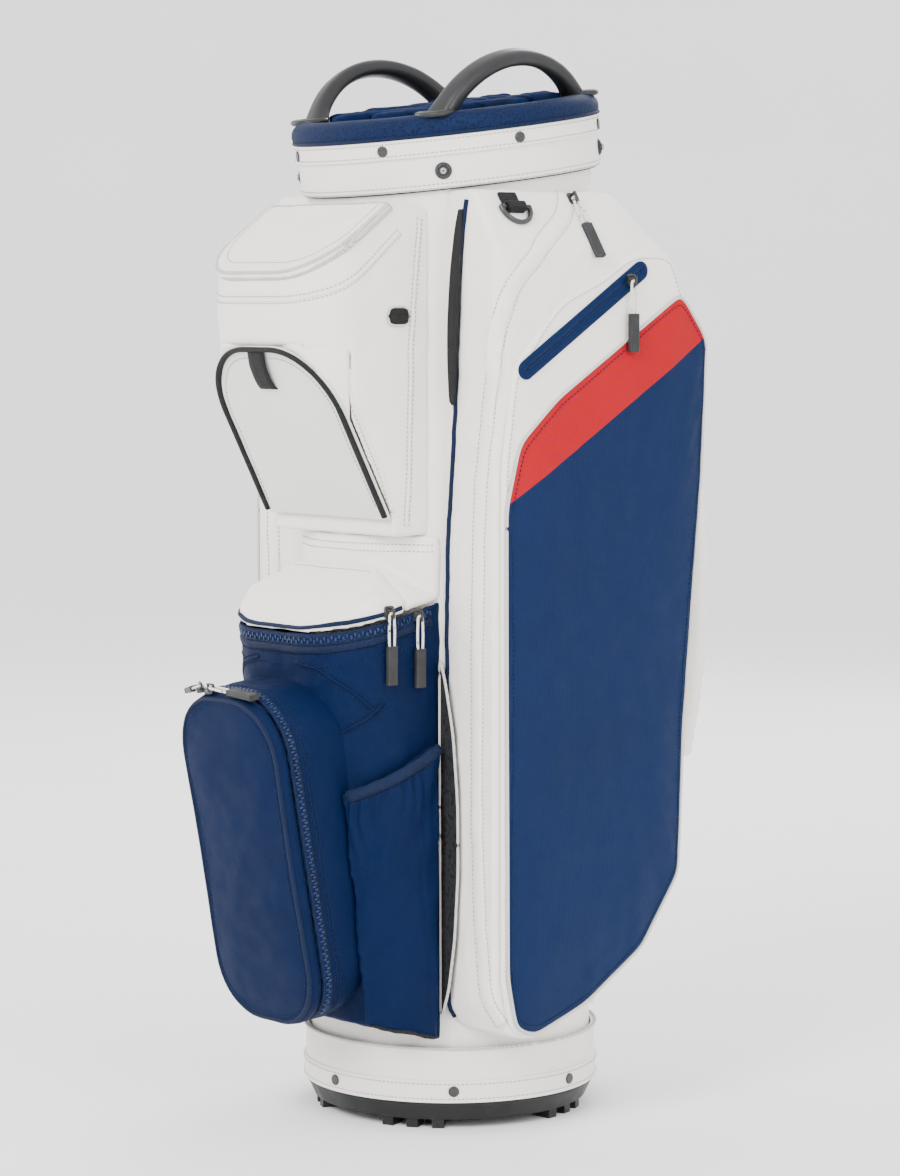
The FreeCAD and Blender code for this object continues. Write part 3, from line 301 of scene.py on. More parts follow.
M = {
    "white": cloth("coated_white", WHITE, soil_and_glint=0.03),
    "flap": cloth("coated_grey_white", GREY_WHITE, soil_and_glint=0.04),
    "collar": cloth("board_backed_white", shade(WHITE, 0.97), pitch=0.0009, rough=0.5, soil_and_glint=0.03),
    "blue": cloth("coated_blue", BLUE, soil_and_glint=0.10, sheen=0.008),
    "navy": cloth("lining_navy", NAVY, pitch=0.0014, soil_and_glint=0.12, sheen=0.03),
    "panel": banded_cloth("panel_blue_red", BRIGHT_BLUE, RED, 0.614, 0.5767),
    "cuff": mesh_cloth("air_mesh_blue", (0.0010, 0.0075, 0.036), 0.0022),
    "gusset": mesh_cloth("gusset_mesh_black", (0.014, 0.014, 0.016), 0.0036, 0.0008),
    "divider": cloth("brushed_blue", (0.0013, 0.0090, 0.042), pitch=0.0016, rough=0.85, soil_and_glint=0.12, sheen=0.01),
    "black": moulded("moulded_black", BLACK),
    "handle": moulded("moulded_handle", (0.013, 0.013, 0.014), rough=0.38, grain=300, depth=0.00008),
    "tape": webbing("webbing_black", (0.010, 0.010, 0.011)),
    "binding": webbing("binding_black", (0.012, 0.012, 0.013), 0.0012),
    "blue_binding": webbing("binding_blue", (0.0010, 0.0080, 0.038), 0.0012),
    "white_binding": webbing("binding_white", (0.62, 0.61, 0.58), 0.0012),
    "cord": flecked("cord_fleck", (0.80, 0.79, 0.76), (0.02, 0.02, 0.022)),
    "grip": moulded("moulded_grip", (0.012, 0.012, 0.013), rough=0.5, grain=600),
    "enamel": enamel("enamel_black", (0.010, 0.010, 0.011)),
    "steel": metal("steel_dull", (0.45, 0.45, 0.46), 0.35),
    "alloy": metal("alloy_drawn", (0.62, 0.62, 0.64), 0.3),
    "board": moulded("tube_board", (0.022, 0.022, 0.024), rough=0.6, grain=200),
    "thread_white": webbing("thread_white", (0.55, 0.545, 0.52), 0.0006),
    "thread_blue": webbing("thread_blue", (0.0020, 0.0125, 0.056), 0.0006),
    "thread_dark": webbing("thread_dark", (0.0010, 0.006, 0.027), 0.0006),
    "weld": cloth("welded_blue", (0.0013, 0.0105, 0.048), pitch=0.0009, rough=0.42, soil_and_glint=0.06, sheen=0.02),
    "teeth": moulded("zip_teeth", (0.0016, 0.0110, 0.048), rough=0.35, grain=500),
}


SIDES = ((1, "right"), (-1, "left"))
UPRIGHT = Matrix.Identity(4)


# ---- mesh helpers ------------------------------------------------------------------------


def add(name, verts, faces, material, body="bag", smooth=True):
    """A mesh piece that rides on a CAD body."""
    data = bpy.data.meshes.new(name)
    data.from_pydata([tuple(v) for v in verts], [], faces)
    data.validate()
    piece = bpy.data.objects.new(name, data)
    bpy.context.scene.collection.objects.link(piece)
    data.materials.append(M[material])
    if smooth:
        smooth_all(piece)
    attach(piece, body)
    return piece


def grid_faces(rows, columns, closed=False, offset=0):
    """Quads of a grid stored row by row; closed joins each row's ends."""
    faces = []
    span = columns if closed else columns - 1
    for i in range(rows - 1):
        for j in range(span):
            k = (j + 1) % columns
            a, b = offset + i * columns + j, offset + i * columns + k
            faces.append((a, b, b + columns, a + columns))
    return faces


def apply_all(piece):
    """Bakes a piece's modifiers into its mesh."""
    graph = bpy.context.evaluated_depsgraph_get()
    baked = bpy.data.meshes.new_from_object(piece.evaluated_get(graph))
    piece.modifiers.clear()
    piece.data = baked


def smooth_all(piece):
    """Shades every face of a piece smooth."""
    for face in piece.data.polygons:
        face.use_smooth = True


def sharp_points(data, spacing=0.004, limit=35):
    """Points along a mesh's sharp edges, which is where a sewn piece is pulled in."""
    mesh = bmesh.new()
    mesh.from_mesh(data)
    bmesh.ops.remove_doubles(mesh, verts=mesh.verts, dist=1e-5)
    points = []
    for edge in mesh.edges:
        if len(edge.link_faces) == 2 and edge.calc_face_angle(0) < math.radians(limit):
            continue
        a, b = (v.co for v in edge.verts)
        count = max(1, int((b - a).length / spacing))
        points += [a.lerp(b, i / count) for i in range(count + 1)]
    mesh.free()
    return points


def soft(name, node, material, body="bag", voxel=0.0024, round_off=6, crown=0.003, reach=0.025,
         ripple=0.0006):
    """A padded version of a CAD solid: edges rounded, faces crowned and slightly rippled.

    Each point moves out along its normal by an amount that grows with its distance from the
    solid's sharp edges, the way cloth swells between its seams.
    """
    source = NODES[node]
    data = source.data.copy()
    seams = sharp_points(data)
    tree = KDTree(len(seams))
    for i, point in enumerate(seams):
        tree.insert(point, i)
    tree.balance()
    piece = bpy.data.objects.new(name, data)
    bpy.context.scene.collection.objects.link(piece)
    weld = piece.modifiers.new("weld", "WELD")
    weld.merge_threshold = 0.00005
    remesh = piece.modifiers.new("remesh", "REMESH")
    remesh.mode = "VOXEL"
    remesh.voxel_size = voxel
    relax = piece.modifiers.new("relax", "SMOOTH")
    relax.factor = 0.5
    relax.iterations = round_off
    apply_all(piece)
    mesh = piece.data
    normals = [v.normal.copy() for v in mesh.vertices]
    for vertex, normal in zip(mesh.vertices, normals):
        distance = tree.find(vertex.co)[2]
        swell = crown * (1 - math.exp(-((distance / reach) ** 1.5)))
        pucker = ripple * noise.noise(vertex.co * 45) + ripple * 0.6 * noise.noise(vertex.co * 110)
        vertex.co = vertex.co + normal * (swell + pucker)
    mesh.materials.clear()
    mesh.materials.append(M[material])
    smooth_all(piece)
    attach(piece, body)
    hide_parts(node)
    return piece


def resample(points, spacing=0.004, closed=False):
    """Evenly spaced points along a line through the given ones."""
    points = [Vector(p) for p in points]
    if closed:
        points.append(points[0])
    lengths = [0.0]
    for a, b in zip(points, points[1:]):
        lengths.append(lengths[-1] + (b - a).length)
    count = max(2, round(lengths[-1] / spacing))
    made, j = [], 0
    for i in range(count + (0 if closed else 1)):
        at = lengths[-1] * i / count
        while j < len(points) - 2 and lengths[j + 1] < at:
            j += 1
        span = lengths[j + 1] - lengths[j] or 1e-9
        made.append(points[j].lerp(points[j + 1], (at - lengths[j]) / span))
    return made


def eased(points, passes=6, closed=False):
    """The same points with their corners rounded off."""
    for _ in range(passes):
        count = len(points)
        moved = []
        for i, point in enumerate(points):
            if not closed and i in (0, count - 1):
                moved.append(point)
                continue
            moved.append((points[i - 1] + point * 2 + points[(i + 1) % count]) / 4)
        points = moved
    return points


def surface_of(piece):
    """A search tree over a piece's surface, in the row frame."""
    verts = [piece.matrix_world @ v.co for v in piece.data.vertices]
    return BVHTree.FromPolygons(verts, [tuple(f.vertices) for f in piece.data.polygons])


def laid(points, surface, lift):
    """Points dropped onto a surface and lifted off it, with the surface's normals."""
    places, normals = [], []
    for point in points:
        spot, normal, _, _ = surface.find_nearest(point)
        places.append(spot + normal * lift)
        normals.append(normal)
    return places, normals


def tube(name, points, radius, material, body="bag", slot=None, closed=False, sides=8, flat=1.0, normals=None):
    """A tube or flattened tape along a line of points."""
    count = len(points)
    verts = []
    for i, point in enumerate(points):
        before = points[i - 1] if closed or i else point
        after = points[(i + 1) % count] if closed or i < count - 1 else point
        ahead = (after - before).normalized()
        up = normals[i] if normals else Vector((0, 0, 1))
        side = ahead.cross(up)
        side = side.normalized() if side.length > 1e-6 else ahead.orthogonal().normalized()
        up = side.cross(ahead).normalized()
        for k in range(sides):
            turn = 2 * math.pi * k / sides
            verts.append(point + side * (radius * math.cos(turn)) + up * (radius * flat * math.sin(turn)))
    faces = grid_faces(count, sides, closed=True)
    if closed:
        last = (count - 1) * sides
        faces += [(last + k, last + (k + 1) % sides, (k + 1) % sides, k) for k in range(sides)]
    else:
        faces += [tuple(reversed(range(sides))), tuple((count - 1) * sides + k for k in range(sides))]
    return add(name, verts, faces, material, body)


def stitches(name, points, normals, material, body="bag", slot=None, pitch=0.0038, length=0.0026, radius=0.00042):
    """A row of short rounded stitches, one mesh for the whole row."""
    verts, faces = [], []
    path = resample(points, pitch)
    for i, (start, end) in enumerate(zip(path, path[1:])):
        ahead = (end - start).normalized()
        normal = normals[min(len(normals) - 1, round(i * (len(normals) - 1) / max(1, len(path) - 2)))]
        side = ahead.cross(normal)
        if side.length < 1e-6:
            continue
        side.normalize()
        up = side.cross(ahead)
        middle = (start + end) / 2
        for share, size in ((-0.5, 0.25), (-0.32, 1.0), (0.32, 1.0), (0.5, 0.25)):
            for k in range(6):
                turn = math.pi * k / 3
                spread = side * math.cos(turn) + up * math.sin(turn)
                verts.append(middle + ahead * (share * length) + spread * (radius * size))
        base = len(verts) - 24
        faces += grid_faces(4, 6, closed=True, offset=base)
        faces += [tuple(base + k for k in reversed(range(6))), tuple(base + 18 + k for k in range(6))]
    return add(name, verts, faces, material, body)


def sewn(name, line, surface, thread, body="bag", slot=None, lift=0.0003):
    """A row of stitches laid along a line on a surface."""
    stitches(name, *laid(line, surface, lift), thread, body, slot)


def bound(name, line, surface, radius, material, body="bag", slot=None, lift=0.0003, **shape):
    """A binding laid along a line on a surface; returns the line as it lies and its normals."""
    places, normals = laid(line, surface, lift)
    tube(name, places, radius, material, body, slot, normals=normals, **shape)
    return places, normals


def shifted(points, normals, distance):
    """A line moved sideways across its surface."""
    moved = []
    for i, point in enumerate(points):
        ahead = points[min(i + 1, len(points) - 1)] - points[max(i - 1, 0)]
        moved.append(point + ahead.cross(normals[i]).normalized() * distance)
    return moved


def seam(name, points, surface, thread="thread_white", fold="white", gap=0.0028, double=True, lift=0.0004):
    """A felled seam: a low raised fold with a row of stitches on each side."""
    line = eased(resample(points), 3)
    places, normals = bound(name + "_fold", line, surface, 0.0014, fold, flat=0.55, lift=lift * 0.3)
    for side in (-1, 1) if double else (1,):
        row, row_normals = laid(shifted(places, normals, side * gap), surface, lift)
        stitches(f"{name}_stitch_{'ab'[side > 0]}", row, row_normals, thread)


def zipper(name, points, surface, width, pitch=0.0032, lift=0.0006):
    """A zip: a flat tape with two interlocking rows of teeth."""
    line = eased(resample(points), 4)
    places, normals = bound(name + "_tape", line, surface, width, "blue_binding", flat=0.12, sides=10, lift=lift)
    verts, faces = [], []
    path = resample(places, pitch)
    for i, (start, end) in enumerate(zip(path, path[1:])):
        ahead = (end - start).normalized()
        normal = normals[round(i * (len(normals) - 1) / max(1, len(path) - 2))]
        side = ahead.cross(normal).normalized()
        middle = (start + end) / 2 + side * (0.0009 if i % 2 else -0.0009) + normal * 0.0008
        half = (side * 0.0019, ahead * 0.0011, normal * 0.0009)
        base = len(verts)
        for c in range(8):
            signs = [1 if c & bit else -1 for bit in (1, 2, 4)]
            shrink = 0.75 if signs[2] > 0 else 1.0
            verts.append(middle + half[0] * signs[0] * shrink + half[1] * signs[1] * shrink + half[2] * signs[2])
        for quad in ((0, 2, 3, 1), (4, 5, 7, 6), (0, 1, 5, 4), (2, 6, 7, 3), (0, 4, 6, 2), (1, 3, 7, 5)):
            faces.append(tuple(base + q for q in quad))
    add(name + "_teeth", verts, faces, "teeth", smooth=False)


# ---- shaped pieces -----------------------------------------------------------------------


def rounded(corners, spacing=0.005, passes=8):
    """A closed outline with its corners eased."""
    line = resample([(u, v, 0) for u, v in corners], spacing, closed=True)
    return [(p.x, p.y) for p in eased(line, passes, closed=True)]


def spaced(corners, spacing=0.004):
    """A closed outline with evenly spaced points."""
    return [(p.x, p.y) for p in resample([(u, v, 0) for u, v in corners], spacing, closed=True)]


def face_frame(origin, right, up):
    """A frame whose first two axes lie in a face and whose third points out of it."""
    u = Vector(right).normalized()
    out = u.cross(Vector(up)).normalized()
    v = out.cross(u)
    made = Matrix((u, v, out)).transposed().to_4x4()
    made.translation = Vector(origin)
    return made


def facing_front(y):
    """The frame of a face that looks straight ahead, at one depth."""
    return face_frame((0, y, 0), (1, 0, 0), (0, 0, 1))


def panel(name, outline, place, thick, crown, material, body="bag", edge=0.004, ripple=0.0004, node=None):
    """A padded plate: a rolled edge that rises to a crowned and lightly rippled face."""
    count = len(outline)
    if sum(outline[i - 1][0] * outline[i][1] - outline[i][0] * outline[i - 1][1] for i in range(count)) < 0:
        outline = outline[::-1]
    middle = (sum(u for u, _ in outline) / count, sum(v for _, v in outline) / count)
    reach = min(math.hypot(u - middle[0], v - middle[1]) for u, v in outline)
    insets = [0.0, 0.0] + [edge * k for k in (0.15, 0.4, 0.7, 1.0, 1.6, 2.6)]
    shares = [1 - inset / reach for inset in insets]
    last = shares[-1]
    shares += [last * (1 - k / 12) for k in range(1, 12)]
    verts = []
    for ring, share in enumerate(shares):
        for u, v in outline:
            radius = math.hypot(u - middle[0], v - middle[1])
            inset = insets[ring] if ring < len(insets) else radius * (1 - share)
            scale = max(0.0, 1 - inset / radius) if ring < len(insets) else share
            a, b = middle[0] + (u - middle[0]) * scale, middle[1] + (v - middle[1]) * scale
            roll = min(1.0, inset / edge)
            height = 0.0 if ring == 0 else thick * (0.35 + 0.65 * math.sqrt(max(0, 1 - (1 - roll) ** 2)))
            from_edge = radius * (1 - scale)
            height += crown * (1 - math.exp(-((from_edge / 0.03) ** 1.3)))
            height += ripple * roll * noise.noise(Vector((a, b, thick)) * 40)
            verts.append(place @ Vector((a, b, height)))
    faces = grid_faces(len(shares), count, closed=True)
    top = len(verts)
    peak = thick + crown + ripple * noise.noise(Vector((*middle, thick)) * 40)
    verts.append(place @ Vector((*middle, peak)))
    row = (len(shares) - 1) * count
    faces += [(row + k, row + (k + 1) % count, top) for k in range(count)]
    verts.append(place @ Vector((*middle, 0)))
    faces += [((k + 1) % count, k, top + 1) for k in range(count)]
    piece = add(name, verts, faces, material, body)
    if node:
        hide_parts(node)
    return piece


def outline_points(outline, place, height, inset=0.0):
    """An outline lifted into the row frame, optionally drawn inwards."""
    count = len(outline)
    middle = (sum(u for u, _ in outline) / count, sum(v for _, v in outline) / count)
    points = []
    for u, v in outline:
        radius = math.hypot(u - middle[0], v - middle[1])
        scale = 1 - inset / radius
        across, along = middle[0] + (u - middle[0]) * scale, middle[1] + (v - middle[1]) * scale
        points.append(place @ Vector((across, along, height)))
    return points


def piping(name, points, radius=0.0016, body="bag"):
    """A closed round of white piping."""
    tube(name, resample(points, closed=True), radius, "white_binding", body, closed=True)


def lathe(name, profile, place, material, segments, wobble=0.0, node=None):
    """A closed profile of (radius, height) turned about an axis, with a slight unevenness."""
    verts = []
    for radius, height in profile:
        for k in range(segments):
            turn = 2 * math.pi * k / segments
            spot = Vector((radius * math.cos(turn), radius * math.sin(turn), height))
            spot *= 1 + wobble * noise.noise(spot * 22)
            verts.append(place @ spot)
    rows = len(profile)
    faces = grid_faces(rows, segments, closed=True)
    last = (rows - 1) * segments
    faces += [(last + k, last + (k + 1) % segments, (k + 1) % segments, k) for k in range(segments)]
    piece = add(name, verts, faces, material)
    if node:
        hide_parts(node)
    return piece


def ring_line(radius, height, place, count=240):
    """A full turn of points about a frame's axis, the last on the first."""
    angles = [math.tau * k / count for k in range(count + 1)]
    return [place @ Vector((radius * math.cos(a), radius * math.sin(a), height)) for a in angles]


def hem(name, radius, height, place):
    """A round of stitches on one of the stiff collars."""
    line = ring_line(radius, height, place)
    centre = place @ Vector((0, 0, height))
    stitches(name, line, [(p - centre).normalized() for p in line], "thread_white", slot="collar_white")


def hoop(name, radius, height, place, thick, material, slot=None):
    """A closed ring of binding or moulding about a frame's axis."""
    tube(name, ring_line(radius, height, place)[:-1], thick, material, slot=slot, closed=True)


def finish(material, *nodes):
    """Gives CAD nodes that are shown as they are their own material."""
    for node in nodes:
        NODES[node].data.materials.clear()
        NODES[node].data.materials.append(M[material])


# ---- base and top ------------------------------------------------------------------------


def base():
    """The base cup, its lugs, rivets and hemmed collar."""
    finish("black", "base_cup", "base_feet")
    finish("collar", "base_collar")
    finish("enamel", "base_rivets")
    hoop("base_lip", 0.1241, 0.0225, UPRIGHT, 0.0013, "black")
    for name, height in (("low", 0.0275), ("high", 0.0400)):
        hem("base_hem_stitch_" + name, 0.1272, height, UPRIGHT)
    hoop("base_collar_binding", 0.1262, 0.0702, UPRIGHT, 0.0014, "white_binding", "collar_white")


def tube_cloth():
    """The white cloth round the tube, which shows between the pockets and under the collar."""
    rows, columns = 150, 160
    verts = []
    for i in range(rows):
        for k in range(columns):
            turn = 2 * math.pi * k / columns
            x, y = math.cos(turn), math.sin(turn)
            top = 0.798 + 0.14 * 0.12 * y + 0.012
            z = 0.064 + (top - 0.064) * i / (rows - 1)
            radius = 0.1205 + 0.0006 * noise.noise(Vector((x * 2.2, y * 2.2, z * 9)))
            radius += 0.0004 * noise.noise(Vector((x * 7, y * 7, z * 34)))
            verts.append((radius * x, radius * y, z))
    add("tube_cloth", verts, grid_faces(rows, columns, closed=True), "white")
    finish("board", "main_tube")
    finish("alloy", "stay_rods")


def top():
    """The top ring, its hemmed collar with rivets and snaps, and the padded mesh cuff."""
    finish("black", "top_ring")
    finish("collar", "top_collar")
    finish("enamel", "top_rivets", "hood_snaps")
    for name, radius, height in (("hem_low", 0.1308, 0.0295), ("hem_high", 0.1308, 0.0395), ("foot", 0.1285, 0.0035)):
        hem("top_collar_stitch_" + name, radius, height, RIM)
    hoop("collar_foot_binding", 0.1272, 0.0004, RIM, 0.0013, "white_binding", "collar_white")
    bulge = [(0.1254, 0.0425), (0.1305, 0.0430), (0.1318, 0.0470), (0.1318, 0.0520), (0.1296, 0.0566),
             (0.1250, 0.0597), (0.1185, 0.0612), (0.1120, 0.0604), (0.1065, 0.0572), (0.1040, 0.0520),
             (0.1035, 0.0450), (0.1045, 0.0360), (0.1050, 0.0250), (0.1070, 0.0240), (0.1072, 0.0380),
             (0.1076, 0.0464), (0.1254, 0.0464)]
    cuff = lathe("cuff_padding", bulge, RIM, "cuff", 192, 0.006, "cuff_pad")
    rounding = cuff.modifiers.new("rounding", "SUBSURF")
    rounding.levels = rounding.render_levels = 1
    apply_all(cuff)
    smooth_all(cuff)
    for name, radius, height in (("outer", 0.1304, 0.0437), ("inner", 0.1052, 0.0250)):
        hoop("cuff_piping_" + name, radius, height, RIM, 0.0017, "blue_binding", "cuff_mesh")
    for k, degrees in enumerate((-42.5, 42.5, 137.5, 222.5)):
        angle = math.radians(degrees)
        spot = RIM @ Vector((0.1319 * math.cos(angle), 0.1319 * math.sin(angle), 0.014))
        out = (RIM.to_3x3() @ Vector((math.cos(angle), math.sin(angle), 0))).normalized()
        across = out.orthogonal().normalized()
        for name, size, thick, material, lift in (("ring", 0.0050, 0.0008, "enamel", -0.0020),
                                                  ("stud", 0.0016, 0.0012, "steel", 0.0)):
            line = [spot + out * lift + Matrix.Rotation(2 * math.pi * j / 20, 3, out) @ (across * size)
                    for j in range(20)]
            tube(f"snap_{name}_{k}", line, thick, material, slot="rivet_black", closed=True)


def dividers():
    """Padded divider bars with a saddle between their crossings, and the cloth walls below."""
    for node, name in (("divider_bars_long", "divider_long"), ("divider_bars_short", "divider_short")):
        piece = soft(name, node, "divider", round_off=10, crown=0.0012, reach=0.006)
    finish("navy", "divider_sheets")
    floor = [(0.0, 0.0168), (0.1165, 0.0168), (0.1165, 0.0176), (0.0, 0.0176)]
    lathe("base_lining", [(r + 0.0005, z) for r, z in floor], UPRIGHT, "navy", 64)
    wall = [(0.1163, 0.018), (0.1163, 0.79), (0.1160, 0.79), (0.1160, 0.018)]
    lathe("tube_lining", wall, UPRIGHT, "navy", 96)


def handle(side, word):
    """A moulded grip whose feet flare where they bolt down through the cuff."""
    foot, low, bow, rise = 0.080, 0.046, 0.095, 0.098
    sagitta = math.hypot(bow - foot, rise - low)
    radius = (foot**2 + sagitta**2) / (2 * sagitta)
    half = math.asin(foot / radius)
    lean = Vector((side * (bow - foot), 0, rise - low)).normalized()
    count, around = 64, 24
    verts = []
    for i in range(count + 1):
        share = 2 * i / count - 1
        angle = share * half
        spot = Vector((side * foot, radius * math.sin(angle), low))
        spot += lean * (radius * math.cos(angle) - radius + sagitta)
        ahead = (Vector((0, math.cos(angle), 0)) - lean * math.sin(angle)).normalized()
        across = ahead.cross(lean).normalized()
        up = across.cross(ahead)
        near_foot = max(0.0, (abs(share) - 0.72) / 0.28)
        wide = 0.0105 + 0.0055 * near_foot**1.5 - 0.0010 * (1 - abs(share)) ** 2
        thick = 0.0076 + 0.0026 * near_foot**2 - 0.0008 * math.cos(share * 1.4)
        for k in range(around):
            turn = 2 * math.pi * k / around
            c, s = math.cos(turn), math.sin(turn)
            squared = (abs(c) ** 3 + abs(s) ** 3) ** (-1 / 3)
            verts.append(RIM @ (spot + across * (wide * c * squared) + up * (thick * s * squared)))
    faces = grid_faces(count + 1, around, closed=True)
    faces += [tuple(reversed(range(around))), tuple(count * around + k for k in range(around))]
    piece = add(f"grip_{word}", verts, faces, "handle")
    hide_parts("handle_" + word)
    for end in (-1, 1):
        centre = RIM @ Vector((side * (foot + 0.0035), end * (foot + 0.001), 0.0595))
        ring = [centre + RIM.to_3x3() @ Vector((0.0155 * math.cos(t), 0.0125 * math.sin(t), 0.0008))
                for t in (2 * math.pi * j / 28 for j in range(28))]
        tube(f"grip_foot_{word}_{'ab'[end > 0]}", ring, 0.0026, "handle", closed=True)


# ---- front pockets -----------------------------------------------------------------------


def plan_half(y):
    """Half the upper pocket's width at one depth: straight sides, then rounded front corners."""
    into = UPPER_FRONT + UPPER_CORNER - y
    if into < 0:
        return UPPER_HALF
    return UPPER_HALF - UPPER_CORNER + math.sqrt(max(0.0, UPPER_CORNER**2 - into**2))


def plan_line(half, front, corner, rear):
    """A plan line from the right rear round both front corners to the left rear."""
    turns = [math.radians(a) for a in range(0, 91, 9)]
    line = [(half, rear)]
    line += [(half - corner + corner * math.cos(t), front + corner - corner * math.sin(t)) for t in turns]
    return line + [(-x, y) for x, y in reversed(line)]


def lid_line(inset):
    """A closed line on the sloping valuables lid, drawn in from its edge."""
    line = plan_line(0.083 - inset, -0.211 + inset, 0.048 - inset, -0.124 - inset)
    line = resample([(x, y, 0.7465 + 0.729 * (y + 0.170)) for x, y in line], closed=True)
    return eased(line, 3, closed=True)


def upper_pocket():
    """The upper pocket with its seams and cheek tabs, and the valuables lid on top of it."""
    shell = soft("upper_body", "upper_pocket_shell", "white", crown=0.0028, reach=0.02)
    skin = surface_of(shell)
    for side, word in SIDES:
        x = side * 0.0815
        down = [(x, -0.100, 0.762), (x, -0.108, 0.69), (x, -0.112, 0.60), (x, -0.114, 0.508)]
        seam(f"upper_back_seam_{word}", down, skin)
        cheek = [(side * (plan_half(y) + 0.0015), y, z) for y, z in
                 ((-0.203, 0.660), (-0.187, 0.635), (-0.170, 0.610), (-0.140, 0.552), (-0.128, 0.520))]
        seam(f"upper_cheek_seam_{word}", cheek, skin, double=False)
        place = face_frame((side * 0.0818, -0.122, 0.681), (0, side, 0), (0, 0, 1))
        tab = [(-0.012, -0.0065), (0.008, -0.0065), (0.008, 0.0065), (-0.012, 0.0065)]
        tab = rounded(tab, passes=5, spacing=0.002)
        panel(f"cheek_tab_{word}", tab, place, 0.0022, 0.0004, "tape", edge=0.001)
        piping(f"cheek_tab_edge_{word}", outline_points(tab, place, 0.0010, -0.0012), 0.0009)
    ridge = [(x, y, float(np.interp(y, (-0.208, -0.180, -0.150, -0.122), (0.694, 0.704, 0.724, 0.750))))
             for x, y in plan_line(0.0815, -0.2085, 0.0455, -0.122)]
    seam("upper_ridge_seam", eased(resample(ridge), 3), skin)
    slit = [(x, y, 0.7120 + 0.753 * (y + 0.208)) for x, y in plan_line(0.0785, -0.2062, 0.0440, -0.131)]
    tube("valuables_gasket", eased(resample(slit), 3), 0.0042, "white_binding")
    lid = soft("valuables_cover", "valuables_lid", "white", "valuables_lid", voxel=0.0018, crown=0.0035,
               reach=0.03)
    on_lid = surface_of(lid)
    bound("valuables_piping", lid_line(0.0), on_lid, 0.0015, "white_binding", "valuables_lid", closed=True)
    sewn("valuables_stitch", lid_line(0.010), on_lid, "thread_white", "valuables_lid")


FLAP_FOOT, FLAP_HEAD = Vector((0, -0.133, 0.512)), Vector((0, -0.208, 0.655))
FLAP_ARCH = 0.062


def flap():
    """The rangefinder flap: a padded panel with an arched black trim, hinged at its foot."""
    high = (FLAP_HEAD - FLAP_FOOT).length
    place = face_frame(FLAP_FOOT, (1, 0, 0), FLAP_HEAD - FLAP_FOOT)
    half, arch = UPPER_HALF, FLAP_ARCH
    shape = [(-half, 0.001), (half, 0.001), (half, high - arch)]
    for end, start, skip in ((half - arch, 0, 1), (-half + arch, math.pi / 2, 0)):
        shape += [(end + arch * math.cos(t), high - arch + arch * math.sin(t))
                  for t in np.linspace(start, start + math.pi / 2, 12)[skip:]]
    outline = spaced(shape)
    piece = panel("rangefinder_cover", outline, place @ Matrix.Translation((0, 0, -0.0042)), 0.0040, 0.0035, "flap",
                  "rangefinder_flap", edge=0.003, node="rangefinder_flap")
    home = place.inverted()
    keep = [p for p in outline_points(outline, place, 0.0008, 0.0012) if (home @ p).y > 0.004]
    trim = tube("rangefinder_trim", resample(keep), 0.0030, "binding", "rangefinder_flap", flat=0.75)
    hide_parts("flap_trim")
    inner = [p for p in outline_points(outline, place, 0.004, 0.009) if (home @ p).y > 0.012]
    sewn("rangefinder_stitch", inner, surface_of(piece), "thread_white", "rangefinder_flap", "flap_cloth")
    ribbon(place, high)
    for side, word in SIDES:
        flap_corner(side, word)


def flap_corner(side, word):
    """The stitched corner of the pocket's front, from the flap's arch round to the side."""
    rows = []
    for k in range(15):
        z = 0.596 + 0.0045 * k
        share = (min(z, 0.6545) - FLAP_FOOT.z) / (FLAP_HEAD.z - FLAP_FOOT.z)
        y = FLAP_FOOT.y + share * (FLAP_HEAD.y - FLAP_FOOT.y)
        rise = max(0.0, FLAP_ARCH - (1 - share) * 0.1615)
        arch = UPPER_HALF - FLAP_ARCH + math.sqrt(max(0.0, FLAP_ARCH**2 - rise**2))
        row = [(min(arch, plan_half(y)) - 0.004, y + 0.0062, z)]
        row += [(plan_half(v) - 0.0006, v, z) for v in np.linspace(min(y + 0.0015, -0.173), -0.172, 9)]
        rows.append([(side * u, v, w) for u, v, w in row])
    faces = grid_faces(len(rows), len(rows[0]))
    piece = add(f"flap_corner_{word}", [p for row in rows for p in row], [f[::side] for f in faces], "white")
    solid = piece.modifiers.new("solid", "SOLIDIFY")
    solid.thickness = 0.0015
    apply_all(piece)


def ribbon(place, long):
    """A folded ribbon pull sewn under the flap's edge."""
    half, rows = 0.0105, []
    profile = [(long - 0.003, 0.0006), (long - 0.014, 0.0042), (long - 0.028, 0.0046), (long - 0.0365, 0.0030),
               (long - 0.0375, 0.0018), (long - 0.0355, 0.0008), (long - 0.020, 0.0006)]
    line = eased(resample([(0, u, h) for u, h in profile], 0.002), 3)
    for point in line:
        rows.append([place @ Vector((half * s, point.y, point.z + 0.0008)) for s in (-1, -0.5, 0, 0.5, 1)])
    verts = [p for row in rows for p in row]
    piece = add("flap_ribbon", verts, grid_faces(len(rows), 5), "tape", "rangefinder_flap")
    solid = piece.modifiers.new("solid", "SOLIDIFY")
    solid.thickness = 0.0012
    apply_all(piece)
    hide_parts("flap_pull_tab")


def lower_line(z, grow=0.0, ends=0.080):
    """A line round the cooler at one height: back along the side, round the corners, across the front."""
    round_, half = COOLER_CORNER + grow, COOLER_HALF + grow
    front = COOLER_FRONT + (COOLER_TOP - z) * math.tan(COOLER_LEAN) - grow
    line = [(half, -ends, z)]
    for k in range(13):
        turn = math.pi / 2 * k / 12
        line.append((half - round_ + round_ * math.cos(turn), front + round_ - round_ * math.sin(turn), z))
    line += [(-x, y, z) for x, y, z in reversed(line)]
    return line


def rim_line(drop, ends=0.095):
    """The cooler's zip line, which rises towards the back, lowered by some distance."""
    low, rise = COOLER_TOP - drop, 0.2385
    return [(x, y, low + rise * (y - COOLER_FRONT)) for x, y, _ in lower_line(low, 0.0, ends)]


